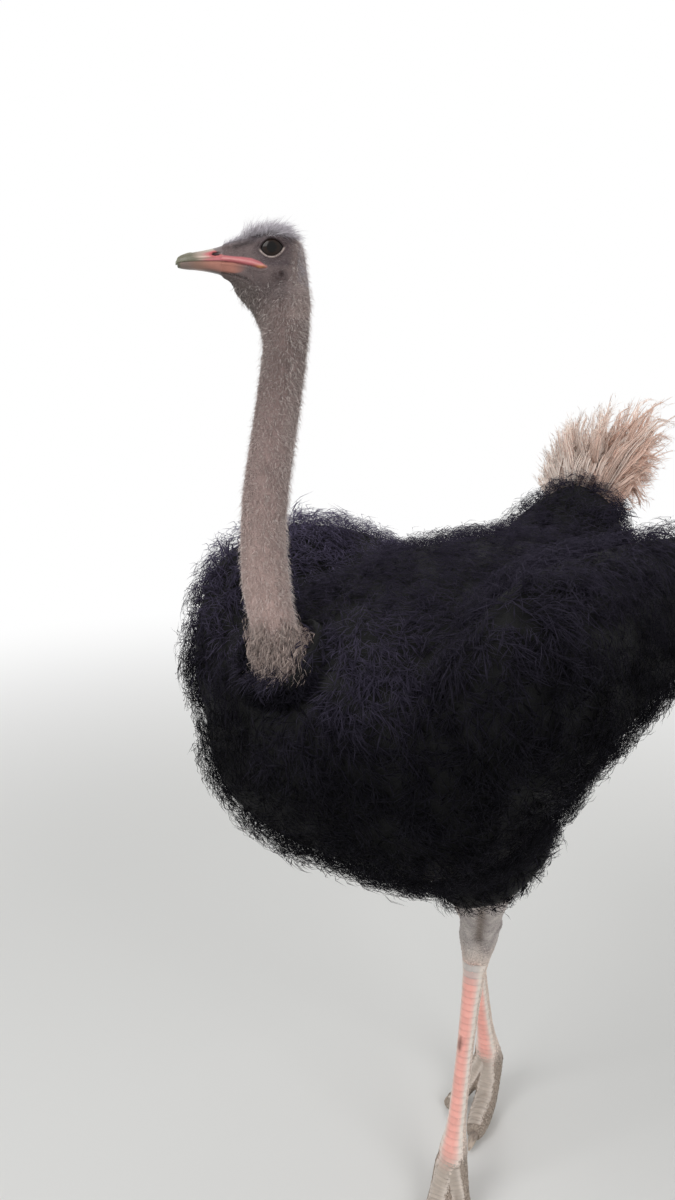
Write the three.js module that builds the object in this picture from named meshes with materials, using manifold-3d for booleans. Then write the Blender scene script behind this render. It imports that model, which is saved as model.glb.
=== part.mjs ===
// Male common ostrich in mid-stride, life size, in millimetres, +Z up.
// The bird faces -Y and its left side is +X. Every piece is placed in the bird's own terms, as forward, left
// and up from the ground under its middle, and the finished group is moved so that its box stands centred on
// the origin.
import * as THREE from 'three';
import { mergeVertices } from 'three/addons/utils/BufferGeometryUtils.js';
import Module from 'manifold-3d';

const wasm = await Module();
wasm.setup();

// ---- driving dimensions ----
const gap = 0.35; // clearance between neighbouring pieces
const bluntness = 0.45; // how far a body's closing point stands out, as a share of its last half width
const backHeight = 1545; // top of the plumage over the back
const bellyHeight = 758; // lowest plumage under the belly
const midline = -14; // the trunk sways a little towards the trailing foot
const bodyWidth = 358; // half width of the trunk plumage, without the wings
const wingHalfHeight = 250;
const wingHalfThickness = 135;
const neckRadius = 37; // at mid neck, out to the down
const skullLength = 110; // from the back of the head to the base of the bill
const billLength = 78;
const eyeRadius = 19;
const eyeSpread = 23.5; // from the middle of the head to the middle of each eye
const headTurn = 52; // degrees, head turned to the bird's right
const headLift = 2; // degrees, bill raised
const eyeHeight = 2030;
const hockHeight = 595;
const ankleRadius = 52; // hock joint, half its depth
const toeLength = 178;

const slots = {
  plumage: { color: 0x15141a, roughness: 0.85, metalness: 0 },
  down: { color: 0xa8938c, roughness: 0.9, metalness: 0 },
  horn: { color: 0xb07a68, roughness: 0.45, metalness: 0 },
  eye: { color: 0x1d1210, roughness: 0.08, metalness: 0 },
  plume: { color: 0xd9c3aa, roughness: 0.85, metalness: 0 },
  skin: { color: 0xb2a299, roughness: 0.7, metalness: 0 },
  scutes: { color: 0xdd9a8d, roughness: 0.55, metalness: 0 },
  claw: { color: 0x5d5048, roughness: 0.4, metalness: 0 },
};
const finishes = Object.fromEntries(
  Object.entries(slots).map(([name, look]) => [name, new THREE.MeshStandardMaterial({ name, ...look })]),
);

// A place given as forward, left and up.
const place = (forward, toLeft, up) => new THREE.Vector3(toLeft, -forward, up);
const left = place(0, 1, 0);
const upward = place(0, 0, 1);
const ground = place(0, 0, 0);

// ---- solids ----
function toSolid(geometry) {
  const bare = geometry.clone();
  for (const name of Object.keys(bare.attributes)) if (name !== 'position') bare.deleteAttribute(name);
  const merged = mergeVertices(bare, 1e-3);
  return new wasm.Manifold(
    new wasm.Mesh({
      numProp: 3,
      vertProperties: merged.attributes.position.array,
      triVerts: new Uint32Array(merged.index.array),
    }),
  );
}

function toGeometry(solid) {
  const mesh = solid.getMesh();
  const geometry = new THREE.BufferGeometry();
  geometry.setAttribute('position', new THREE.BufferAttribute(new Float32Array(mesh.vertProperties), 3));
  geometry.setIndex(new THREE.BufferAttribute(new Uint32Array(mesh.triVerts), 1));
  return geometry;
}

// A point of a superellipse whose upper and lower halves have their own depth and squareness.
function ringPoint(angle, size, squareness) {
  const above = Math.sin(angle) >= 0;
  const power = 2 / (above ? squareness.x : squareness.y);
  const across = Math.sign(Math.cos(angle)) * Math.abs(Math.cos(angle)) ** power;
  const along = Math.sign(Math.sin(angle)) * Math.abs(Math.sin(angle)) ** power;
  return [across * size.x, along * (above ? size.y : size.z)];
}

// A closed body swept through stations. Each station has its middle at `at`, a half width `wide` towards
// `side`, and depths `up` and `down` on either side of the path. On a path that runs forward `up` is upward,
// and on one that runs down it is forward. The first and last stations are closed by a blunt point. `swell`
// grows the body all round, for cutting clearances.
function swept(stations, { side, rings, sides, swell = 0 }) {
  const middle = new THREE.CatmullRomCurve3(stations.map((s) => s.at));
  const sizes = new THREE.CatmullRomCurve3(stations.map((s) => new THREE.Vector3(s.wide, s.up, s.down)));
  const corners = new THREE.CatmullRomCurve3(
    stations.map((s) => new THREE.Vector3(...(s.squareness ?? [2, 2]), 0)),
  );
  const points = [];
  for (let ring = 0; ring < rings; ring += 1) {
    const t = ring / (rings - 1);
    const centre = middle.getPoint(t);
    const along = middle.getTangent(t);
    const across = side.clone().addScaledVector(along, -side.dot(along)).normalize();
    const lift = new THREE.Vector3().crossVectors(along, across);
    const size = sizes.getPoint(t).addScalar(swell);
    const squareness = corners.getPoint(t);
    for (let step = 0; step < sides; step += 1) {
      const [x, y] = ringPoint((2 * Math.PI * step) / sides, size, squareness);
      points.push(centre.clone().addScaledVector(across, x).addScaledVector(lift, y));
    }
  }
  const ends = [0, 1].map((t) => {
    const end = stations[t * (stations.length - 1)];
    const reach = Math.min(end.wide, end.up) * bluntness + swell;
    return middle.getPoint(t).addScaledVector(middle.getTangent(t), t ? reach : -reach);
  });
  const first = points.length;
  points.push(...ends);
  const faces = [];
  for (let step = 0; step < sides; step += 1) {
    const next = (step + 1) % sides;
    faces.push(first, next, step);
    const last = (rings - 1) * sides;
    faces.push(first + 1, last + step, last + next);
    for (let ring = 0; ring < rings - 1; ring += 1) {
      const here = ring * sides;
      const above = here + sides;
      faces.push(here + step, here + next, above + next, here + step, above + next, above + step);
    }
  }
  const geometry = new THREE.BufferGeometry().setFromPoints(points);
  geometry.setIndex(faces);
  const solid = toSolid(geometry);
  if (solid.volume() > 0) return solid;
  geometry.setIndex(faces.reverse());
  return toSolid(geometry);
}

// A large block on one side of a plane, `clear` away from it.
function beyond(point, normal, clear = 0) {
  const reach = 3000;
  const block = new THREE.BoxGeometry(reach, reach, reach);
  block.translate(0, 0, reach / 2 + clear);
  const turn = new THREE.Quaternion().setFromUnitVectors(upward, normal.clone().normalize());
  block.applyQuaternion(turn).translate(point.x, point.y, point.z);
  return toSolid(block);
}

const aboveGround = beyond(ground, upward);

// ---- trunk: one egg-shaped mass of plumage, flat over the back, keeled below and tufted under the tail ----
function trunkBody(swell = 0) {
  const level = 1240; // height of the widest part
  const shoulders = 2.5; // squareness over the back
  const station = (forward, width, top, bottom, keel) => ({
    at: place(forward, midline, level),
    wide: width * bodyWidth,
    up: top - level,
    down: level - bottom,
    squareness: [shoulders, keel],
  });
  const stations = [
    station(-608, 0.15, backHeight - 125, 1290, 2),
    station(-580, 0.3, backHeight - 25, 1220, 2),
    station(-530, 0.43, backHeight + 50, 1165, 1.9),
    station(-465, 0.52, backHeight + 80, 1120, 1.8),
    station(-400, 0.59, backHeight + 58, 1085, 1.7),
    station(-320, 0.68, backHeight + 12, 1035, 1.6),
    station(-220, 0.79, backHeight - 5, 955, 1.5),
    station(-80, 0.93, backHeight, bellyHeight + 70, 1.45),
    station(100, 1.0, backHeight - 5, bellyHeight, 1.45),
    station(300, 1.02, backHeight - 30, bellyHeight + 85, 1.8),
    station(450, 0.98, backHeight - 55, bellyHeight + 180, 2.3),
    station(560, 0.82, backHeight - 105, 1018, 2.5),
    station(612, 0.56, backHeight - 170, 1095, 2.4),
    station(636, 0.26, 1320, 1170, 2.2),
  ];
  return swept(stations, { side: left, rings: 20, sides: 22, swell });
}

// ---- wings: held out and a little back, high at the shoulder, the right one drooping to its tip ----
function wingBody(hand, swell = 0) {
  const droop = hand > 0 ? 0 : 150;
  const spread = hand > 0 ? 30 : 10; // the left wing is held wider
  const station = (forward, out, height, thickness, top, bottom) => ({
    at: place(forward, midline + hand * (out + spread), height),
    wide: thickness * wingHalfThickness,
    up: top * wingHalfHeight,
    down: bottom * wingHalfHeight,
    squareness: [2.1, 1.9],
  });
  const stations = [
    station(-590, 488, 1262 - droop, 0.1, 0.12, 0.12),
    station(-540, 476, 1285 - droop, 0.26, 0.36, 0.3),
    station(-450, 448, 1325 - droop * 0.95, 0.42, 0.62, 0.5),
    station(-320, 400, 1362 - droop * 0.9, 0.58, 0.86, 0.54),
    station(-160, 335, 1358 - droop * 0.85, 0.76, 0.9, 0.5),
    station(20, 290, 1350 - droop * 0.3, 0.94, 0.95, 0.58),
    station(220, 280, 1340, 1.02, 1.0, 0.68),
    station(400, 270, 1345, 1.0, 0.95, 0.82),
    station(505, 232, 1355, 0.72, 0.74, 0.7),
    station(552, 200, 1365, 0.34, 0.4, 0.4),
  ];
  return swept(stations, { side: left, rings: 17, sides: 16, swell });
}

// ---- tail: a fan of curved plumes that stands up from the rump ----
function tailBody(swell = 0) {
  const station = (forward, height, width, depth) => ({
    at: place(forward, 0, height),
    wide: width,
    up: depth,
    down: depth,
  });
  const stations = [
    station(-440, 1530, 50, 50),
    station(-480, 1600, 84, 80),
    station(-522, 1660, 120, 112),
    station(-580, 1704, 136, 112),
    station(-650, 1722, 122, 88),
    station(-718, 1717, 66, 48),
  ];
  return swept(stations, { side: left, rings: 11, sides: 16, swell });
}

// ---- neck: a long soft curve from the chest to the back of the skull ----
const neckPath = [
  { at: place(440, -38, 1300), size: 1.62 },
  { at: place(520, -48, 1342), size: 1.5 },
  { at: place(560, -66, 1400), size: 1.3 },
  { at: place(566, -88, 1470), size: 1.1 },
  { at: place(560, -104, 1550), size: 1.02 },
  { at: place(546, -112, 1645), size: 1 },
  { at: place(524, -112, 1740), size: 0.98 },
  { at: place(502, -112, 1830), size: 0.97 },
  { at: place(484, -116, 1905), size: 0.98 },
  { at: place(470, -124, 1962), size: 1.0 },
];

function neckBody(swell = 0) {
  const stations = neckPath.map(({ at, size }) => ({
    at,
    wide: size * neckRadius * 0.98,
    up: size * neckRadius,
    down: size * neckRadius,
  }));
  return swept(stations, { side: left, rings: 19, sides: 14, swell });
}

// ---- head: skull and bill swept as one, then parted ----
const headMiddle = place(474, -150, eyeHeight);
const headPose = new THREE.Matrix4()
  .makeTranslation(headMiddle.x, headMiddle.y, headMiddle.z)
  .multiply(new THREE.Matrix4().makeRotationZ(THREE.MathUtils.degToRad(-headTurn)))
  .multiply(new THREE.Matrix4().makeRotationX(THREE.MathUtils.degToRad(-headLift)));
// A place in the head: forward and up from the point between the eyes, and to its left.
const inHead = (forward, toLeft, up) => new THREE.Vector3(toLeft, -forward, up).applyMatrix4(headPose);
const headLeft = new THREE.Vector3(1, 0, 0).transformDirection(headPose);
const headForward = new THREE.Vector3(0, -1, 0).transformDirection(headPose);
const headUp = new THREE.Vector3(0, 0, 1).transformDirection(headPose);
const billBase = skullLength - 34; // forward of the eyes
const billTip = billBase + billLength;
const gapeDrop = -21; // the mouth's line, below the eyes

function headBody() {
  const station = (forward, width, top, bottom) => ({
    at: inHead(forward, 0, gapeDrop),
    wide: width,
    up: top - gapeDrop,
    down: gapeDrop - bottom,
    squareness: [2.1, 2.2],
  });
  const stations = [
    station(-47, 13, 4, -40),
    station(-42, 25, 21, -66),
    station(-24, 35, 37, -80),
    station(0, 40, 41, -80),
    station(26, 35, 37, -71),
    station(50, 28, 26, -60),
    station(billBase, 24.5, 9, -45),
    station(billBase + 24, 22, 0, -38),
    station(billBase + 50, 18.5, -5.5, -32.5),
    station(billBase + 68, 13, -10.5, -30),
    station(billTip - 3, 6, -16, -26),
  ];
  return swept(stations, { side: headLeft, rings: 20, sides: 18 });
}

// Round lengths that ease the head into the neck, under the chin and behind the nape.
function headRoot(places) {
  const stations = places.map(([forward, toLeft, up, size]) => ({
    at: inHead(forward, toLeft, up),
    wide: size,
    up: size,
    down: size,
  }));
  return swept(stations, { side: headLeft, rings: 7, sides: 11 });
}

function throatBody() {
  return headRoot([
    [52, 0, -38, 19],
    [40, 2, -51, 24],
    [19, 6, -70, 27],
    [1, 10, -100, 25],
    [-9, 13, -150, 20],
  ]);
}

function napeBody() {
  return headRoot([
    [-20, 2, 0, 20],
    [-28, 5, -28, 25],
    [-31, 10, -60, 28],
    [-27, 13, -105, 28],
  ]);
}

const eyePlace = (hand) => inHead(0, hand * eyeSpread, 0);

function eyeBall(hand, swell = 0) {
  const ball = new THREE.SphereGeometry(eyeRadius + swell, 14, 8);
  const { x, y, z } = eyePlace(hand);
  return toSolid(ball.rotateX(Math.PI / 2).translate(x, y, z));
}

// ---- legs ----
// Each leg has its joints as places, and toes that point a little to the left, as the bird turns that way.
const toeTurn = THREE.MathUtils.degToRad(13);
const legs = {
  left: {
    hand: 1,
    knee: place(150, 105, 985),
    hock: place(-50, -12, hockHeight),
    ball: place(108, 26, 92),
    toeRise: 46,
  },
  right: {
    hand: -1,
    knee: place(110, -175, 985),
    hock: place(-158, -100, hockHeight + 8),
    ball: place(-222, -58, 112),
    toeRise: 66,
  },
};
// Forward and sideways of the foot, from its ball.
const fromBall = (leg, forward, outward, up) =>
  place(
    -leg.ball.y + forward * Math.cos(toeTurn) - leg.hand * outward * Math.sin(toeTurn),
    leg.ball.x + forward * Math.sin(toeTurn) + leg.hand * outward * Math.cos(toeTurn),
    up,
  );

// The shank, from the knee inside the plumage to the hock.
function shankBody(leg, swell = 0) {
  const station = (share, size, bow = 0) => ({
    at: leg.knee.clone().lerp(leg.hock, share).add(place(-bow, 0, 0)),
    wide: size * 0.88,
    up: size,
    down: size,
  });
  const stations = [
    station(-0.12, 80),
    station(0.08, 112),
    station(0.3, 98, 8),
    station(0.55, 70, 6),
    station(0.78, 54, 4),
    station(0.92, 50, 2),
    station(1, ankleRadius, 0),
    station(1.08, 42, 4),
  ];
  return swept(stations, { side: left, rings: 12, sides: 14, swell });
}

// The long foot bone, from the hock to the ball of the foot.
function tarsusBody(leg, swell = 0) {
  const station = (share, width, front, back) => ({
    at: leg.hock.clone().lerp(leg.ball, share),
    wide: width,
    up: front,
    down: back,
  });
  const stations = [
    station(-0.07, 38, 40, 40),
    station(0.0, 45, 46, 54),
    station(0.06, 40, 40, 46),
    station(0.15, 27, 27, 30),
    station(0.35, 20.5, 21.5, 23),
    station(0.6, 19, 19.5, 21),
    station(0.82, 20.5, 20.5, 23),
    station(0.94, 33, 27, 31),
    station(1.03, 37, 27, 33),
  ];
  return swept(stations, { side: left, rings: 16, sides: 12, swell });
}

// The big inner toe carries the bird, and its front half lies flat.
function bigToeBody(leg, swell = 0) {
  const rise = leg.toeRise;
  const station = (forward, height, width, up, down) => ({
    at: fromBall(leg, forward, -12, height),
    wide: width,
    up,
    down,
  });
  const stations = [
    station(-4, leg.ball.z + 12, 25, 27, 28),
    station(26, rise + 4, 26, 27, 27),
    station(58, Math.max(rise * 0.58, 26), 27, 25, 27.5),
    station(98, 25, 28, 24, 27.5),
    station(140, 21, 26, 20, 23.5),
    station(toeLength - 10, 17, 18, 15, 19.5),
  ];
  return swept(stations, { side: left, rings: 12, sides: 12, swell });
}

// The small outer toe, two thirds as thick, splayed outwards.
function outerToeBody(leg, swell = 0) {
  const rise = leg.toeRise;
  const station = (forward, outward, height, size) => ({
    at: fromBall(leg, forward, outward, height),
    wide: size,
    up: size * 0.95,
    down: size,
  });
  const stations = [
    station(-4, 15, leg.ball.z + 10, 20),
    station(22, 30, rise, 19),
    station(48, 47, Math.max(rise * 0.5, 19), 19.5),
    station(78, 64, 17.5, 19.5),
    station(102, 76, 14.5, 16),
  ];
  return swept(stations, { side: left, rings: 9, sides: 12, swell });
}

// The broad nail of the inner toe.
function clawBody(leg, swell = 0) {
  const station = (forward, height, width, depth) => ({
    at: fromBall(leg, forward, -12, height),
    wide: width,
    up: depth,
    down: depth,
  });
  const stations = [
    station(toeLength - 24, 20, 11, 9),
    station(toeLength, 17.5, 10.5, 8.5),
    station(toeLength + 20, 12, 7.5, 6),
    station(toeLength + 32, 8.5, 3.4, 3),
  ];
  return swept(stations, { side: left, rings: 7, sides: 10, swell });
}

// ---- assembly ----
const ostrich = new THREE.Group();

function add(name, solid, slot) {
  const mesh = new THREE.Mesh(toGeometry(solid), finishes[slot]);
  mesh.name = name;
  ostrich.add(mesh);
}

function addLegs() {
  for (const [name, leg] of Object.entries(legs)) {
    const hockCut = leg.hock.clone().lerp(leg.knee, 0.07);
    const shankAxis = leg.knee.clone().sub(leg.hock);
    const tarsusAxis = leg.hock.clone().sub(leg.ball);
    const ballCut = leg.ball.clone().lerp(leg.hock, 0.01);
    const shank = shankBody(leg).intersect(beyond(hockCut, shankAxis, gap / 2));
    const tarsus = tarsusBody(leg)
      .subtract(beyond(hockCut, shankAxis, -gap / 2))
      .intersect(beyond(ballCut, tarsusAxis, gap / 2));
    const underBall = beyond(ballCut, tarsusAxis, -gap / 2); // the room that the toes leave to the long bone
    const bigToe = bigToeBody(leg).subtract(underBall).intersect(aboveGround);
    const outerToe = outerToeBody(leg)
      .subtract(underBall)
      .subtract(bigToeBody(leg, gap))
      .intersect(aboveGround);
    add(`shank_${name}`, shank, 'skin');
    add(`tarsus_${name}`, tarsus, 'scutes');
    add(`toe_inner_${name}`, bigToe.subtract(clawBody(leg, gap)), 'skin');
    add(`toe_outer_${name}`, outerToe, 'skin');
    add(`claw_${name}`, clawBody(leg).intersect(aboveGround), 'claw');
  }
}

function addBody() {
  const wings = { left: wingBody(1), right: wingBody(-1) };
  const neckHole = neckBody(gap);
  const shankHoles = shankBody(legs.left, gap).add(shankBody(legs.right, gap));
  const trunk = trunkBody()
    .subtract(wingBody(1, gap))
    .subtract(wingBody(-1, gap))
    .subtract(neckHole)
    .subtract(shankHoles);
  const rump = trunkBody(gap);
  add('trunk', trunk, 'plumage');
  add('wing_left', wings.left.subtract(neckHole).subtract(shankHoles), 'plumage');
  add('wing_right', wings.right.subtract(neckHole).subtract(shankHoles), 'plumage');
  add('tail', tailBody().subtract(rump), 'plume');
}

function addNeckAndHead() {
  const neck = neckBody().add(throatBody()).add(napeBody());
  const upperCut = place(0, 0, 1790);
  const lowerCut = place(0, 0, 1600);
  const skullCut = inHead(0, 0, -78);
  const skullDown = headUp.clone().negate().addScaledVector(headForward, 0.35).normalize();
  const above = (point) => beyond(point, upward, gap / 2);
  const underSkull = beyond(skullCut, skullDown, gap / 2);
  add('neck_lower', neck.subtract(beyond(lowerCut, upward, -gap / 2)), 'down');
  add('neck_middle', neck.intersect(above(lowerCut)).subtract(beyond(upperCut, upward, -gap / 2)), 'down');
  add('neck_upper', neck.intersect(above(upperCut)).intersect(underSkull), 'down');

  const head = headBody().add(neck).subtract(beyond(skullCut, skullDown, -gap / 2));
  const billLine = inHead(billBase, 0, 0);
  const mouth = inHead(0, 0, gapeDrop);
  const ahead = beyond(billLine, headForward, gap / 2);
  const skull = head.subtract(beyond(billLine, headForward, -gap / 2));
  add('head', skull.subtract(eyeBall(1, gap)).subtract(eyeBall(-1, gap)), 'down');
  add('bill_upper', head.intersect(ahead).intersect(beyond(mouth, headUp, gap / 2)), 'horn');
  add('bill_lower', head.intersect(ahead).subtract(beyond(mouth, headUp, -gap / 2)), 'horn');
  add('eye_left', eyeBall(1), 'eye');
  add('eye_right', eyeBall(-1), 'eye');
}

addBody();
addNeckAndHead();
addLegs();

const box = new THREE.Box3().setFromObject(ostrich);
const centre = box.getCenter(new THREE.Vector3());
ostrich.position.set(-centre.x, -centre.y, -box.min.z);

export default ostrich;
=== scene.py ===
import math

import bmesh
import bpy
import numpy as np
from mathutils import Matrix, Vector
from mathutils.bvhtree import BVHTree
from mathutils.kdtree import KDTree


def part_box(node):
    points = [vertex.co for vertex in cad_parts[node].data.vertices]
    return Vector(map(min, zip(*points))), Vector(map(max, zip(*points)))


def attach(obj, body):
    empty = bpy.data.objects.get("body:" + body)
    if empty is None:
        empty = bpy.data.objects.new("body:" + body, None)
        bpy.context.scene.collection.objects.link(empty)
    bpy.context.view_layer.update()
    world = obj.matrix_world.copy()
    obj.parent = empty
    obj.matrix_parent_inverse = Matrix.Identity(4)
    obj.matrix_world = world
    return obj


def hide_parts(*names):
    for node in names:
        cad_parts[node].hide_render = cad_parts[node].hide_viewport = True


# A male ostrich in mid-stride: one skin under down, black plumage, cream tail plumes and horny scutes.
# Lengths are metres. Inside the head they are millimetres: forward, left and up from between the eyes.
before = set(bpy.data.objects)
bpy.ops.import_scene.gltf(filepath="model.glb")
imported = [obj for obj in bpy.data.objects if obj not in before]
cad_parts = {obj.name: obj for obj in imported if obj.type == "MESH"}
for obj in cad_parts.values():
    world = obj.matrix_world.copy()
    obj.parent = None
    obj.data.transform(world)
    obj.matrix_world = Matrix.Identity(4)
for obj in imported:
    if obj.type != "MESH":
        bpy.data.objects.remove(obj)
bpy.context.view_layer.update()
mm = 0.001
weldGap = 1e-5

legNames = ["left", "right"]
billNodes = ["bill_upper", "bill_lower"]
neckNodes = ["neck_lower", "neck_middle", "neck_upper"]
bodyNodes = ["trunk", "wing_left", "wing_right"]
shankNodes = [f"shank_{side}" for side in legNames]
tarsusNodes = [f"tarsus_{side}" for side in legNames]
toeNodes = [f"toe_{toe}_{side}" for side in legNames for toe in ("inner", "outer")]
eyeNodes = [f"eye_{side}" for side in legNames]
legNodes = shankNodes + tarsusNodes + toeNodes
limbNodes = ["head"] + eyeNodes + billNodes + neckNodes + legNodes


def middle(name):
    low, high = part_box(name)
    return (low + high) / 2


# where the bird stands: the eyes place its forward, left and up terms in the frame
eyesMiddle = (middle("eye_left") + middle("eye_right")) / 2
eyesForward = 0.474
eyesLeft = -0.150
headTurn = math.radians(52)  # to the bird's right
headLift = math.radians(2)  # the bill points up by this
headCentre = [20, 0, -20]
standX = eyesMiddle.x - eyesLeft
standY = eyesMiddle.y + eyesForward
headPose = Matrix.Translation(eyesMiddle) @ Matrix.Rotation(-headTurn, 4, "Z")
headPose = headPose @ Matrix.Rotation(-headLift, 4, "X")
headTurned = np.array(headPose.to_3x3())
headFrom = np.array(headPose.translation)


def place(forward, toLeft, up):
    return Vector((toLeft + standX, standY - forward, up))


def toHead(points):
    local = (np.asarray(points) - headFrom) @ headTurned / mm
    return np.stack([-local[:, 1], local[:, 0], local[:, 2]], 1)


def fromHead(places):
    places = np.asarray(places, float)
    local = np.stack([places[:, 1], -places[:, 0], places[:, 2]], 1) * mm
    return local @ headTurned.T + headFrom


def linear(hexColour):
    parts = [int(hexColour[i:i + 2], 16) / 255 for i in (1, 3, 5)]
    return [p / 12.92 if p <= 0.04045 else ((p + 0.055) / 1.055) ** 2.4 for p in parts]


def plainColour(hexColour, count):
    return np.tile(np.array(linear(hexColour)), (count, 1))


def mixed(base, hexColour, share):
    return base + (np.asarray(linear(hexColour)) - base) * np.clip(share, 0, 1)[:, None]


def painted(colour, layers):
    # lays the markings over a colour one after another, each by its share
    for name, share in layers:
        colour = mixed(colour, markings[name], share)
    return colour


def addNode(tree, kind, settings=None, links=None):
    node = tree.nodes.new(kind)
    for name, value in (settings or {}).items():
        if name in node.inputs:
            node.inputs[name].default_value = value
        else:
            setattr(node, name, value)
    for name, output in (links or {}).items():
        tree.links.new(output, node.inputs[name])
    return node


def newMaterial(name, **shader):
    material = bpy.data.materials.new(name)
    material.use_nodes = True
    tree = material.node_tree
    surface = tree.nodes["Principled BSDF"]
    for socket, value in shader.items():
        surface.inputs[socket].default_value = value
    return material, tree, surface


def mathNode(tree, operation, first, second):
    return addNode(tree, "ShaderNodeMath", {"operation": operation}, {0: first, 1: second}).outputs[0]


def pieceFrom(bm, name):
    mesh = bpy.data.meshes.new(name)
    bm.to_mesh(mesh)
    bm.free()
    piece = bpy.data.objects.new(name, mesh)
    bpy.context.scene.collection.objects.link(piece)
    return piece


def meshPiece(name, points, faces):
    mesh = bpy.data.meshes.new(name)
    faces = np.asarray(faces, np.int32)
    corners = faces.shape[1]
    mesh.vertices.add(len(points))
    mesh.vertices.foreach_set("co", np.asarray(points, np.float32).ravel())
    mesh.loops.add(faces.size)
    mesh.loops.foreach_set("vertex_index", faces.ravel())
    mesh.polygons.add(len(faces))
    mesh.polygons.foreach_set("loop_start", np.arange(0, faces.size, corners, dtype=np.int32))
    mesh.update(calc_edges=True)
    piece = bpy.data.objects.new(name, mesh)
    bpy.context.scene.collection.objects.link(piece)
    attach(piece, "root")
    return piece


def coordinates(mesh):
    points = np.empty(len(mesh.vertices) * 3, np.float32)
    mesh.vertices.foreach_get("co", points)
    return points.reshape(-1, 3).astype(float)


def setCoordinates(mesh, points):
    mesh.vertices.foreach_set("co", np.asarray(points, np.float32).ravel())
    mesh.update()


def normalsOf(mesh):
    normals = np.empty(len(mesh.vertices) * 3, np.float32)
    mesh.vertex_normals.foreach_get("vector", normals)
    return normals.reshape(-1, 3).astype(float)


def applied(piece, kind, **settings):
    modifier = piece.modifiers.new(kind, kind)
    for name, value in settings.items():
        setattr(modifier, name, value)
    bpy.context.view_layer.update()
    dependencies = bpy.context.evaluated_depsgraph_get()
    fresh = bpy.data.meshes.new_from_object(piece.evaluated_get(dependencies))
    piece.modifiers.clear()
    old = piece.data
    piece.data = fresh
    bpy.data.meshes.remove(old)


def smoothstep(low, high, value):
    t = np.clip((value - low) / (high - low), 0, 1)
    return t * t * (3 - 2 * t)


def lengths(vectors):
    return np.linalg.norm(vectors, axis=1)


def bump(distance, width):
    return np.exp(-((distance / width) ** 2))


def treeOf(names):
    # finds the nearest point on any of the named solids
    whole = bmesh.new()
    for name in names:
        whole.from_mesh(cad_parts[name].data)
    bmesh.ops.remove_doubles(whole, verts=whole.verts, dist=weldGap)
    tree = BVHTree.FromBMesh(whole)
    whole.free()
    return tree


def treeOfMesh(mesh):
    bm = bmesh.new()
    bm.from_mesh(mesh)
    tree = BVHTree.FromBMesh(bm)
    bm.free()
    return tree


def nearestDistance(tree, points):
    return np.array([tree.find_nearest(Vector(p))[3] for p in points])


# skin: one closed surface over the whole bird, inside the coat by its depth
skinShape = {
    "overlap": 0.0006,  # each solid is swollen by this, so that neighbours fuse
    "bodyOverlap": 0.006,  # more on the body, to close the clefts between wings and trunk
    "leastThick": 0.05,  # a shorter way through the body is a cleft, not its thickness
    # middle, width and lift of what stands fuller: the left wing's rear, and the mound before the tail
    "fuller": [
        ((-0.42, 0.30, 1.44), 0.15, 0.066),
        ((-0.42, 0.17, 1.46), 0.08, 0.040),
        ((-0.40, 0.0, 1.57), 0.06, 0.034),
    ],
    "tuck": 0.016,  # the belly is drawn up by this
    "bodyVoxel": 0.012,
    "voxel": 0.005,
    "bodyFaces": 14000,  # what is left of them under the plumage
    "legTop": 0.84,  # the bare skin of the legs ends at this height
    "coatDepth": 0.034,  # under the plumage
    "thinShare": 0.3,  # never deeper than this share of the body's own thickness
    "downDepth": 0.0040,  # under the neck's down
    "footDepth": 0.010,  # more at the foot of the neck
}


def fleshCopy(name, nodes, swell):
    whole = bmesh.new()
    for node in nodes:
        part = bmesh.new()
        part.from_mesh(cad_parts[node].data)
        bmesh.ops.remove_doubles(part, verts=part.verts, dist=weldGap)
        part.normal_update()
        for vertex in part.verts:
            vertex.co += vertex.normal * swell
        fused = bpy.data.meshes.new(node)
        part.to_mesh(fused)
        part.free()
        whole.from_mesh(fused)
        bpy.data.meshes.remove(fused)
    return pieceFrom(whole, name)


def keepLargest(piece):
    # of several closed shells, only the one with the most points stays
    bm = bmesh.new()
    bm.from_mesh(piece.data)
    bm.verts.ensure_lookup_table()
    seen, best = set(), []
    for start in bm.verts:
        if start.index in seen:
            continue
        shell, front = [start], [start]
        seen.add(start.index)
        while front:
            for edge in front.pop().link_edges:
                for other in edge.verts:
                    if other.index not in seen:
                        seen.add(other.index)
                        shell.append(other)
                        front.append(other)
        if len(shell) > len(best):
            best = shell
    kept = set(best)
    bmesh.ops.delete(bm, geom=[v for v in bm.verts if v not in kept], context="VERTS")
    bm.to_mesh(piece.data)
    bm.free()


def smoothField(mesh, values, rounds):
    # each round moves a value halfway to the mean of its neighbours
    edges = np.empty(len(mesh.edges) * 2, np.int32)
    mesh.edges.foreach_get("vertices", edges)
    a, b = edges.reshape(-1, 2).T
    count = np.bincount(a, minlength=len(values)) + np.bincount(b, minlength=len(values))
    flat = values.reshape(len(values), -1)
    for _ in range(rounds):
        total = np.zeros_like(flat)
        for column in range(flat.shape[1]):
            total[:, column] = np.bincount(a, flat[b, column], len(flat))
            total[:, column] += np.bincount(b, flat[a, column], len(flat))
        flat = 0.5 * flat + 0.5 * total / np.maximum(count, 1)[:, None]
    return flat.reshape(values.shape)


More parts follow.
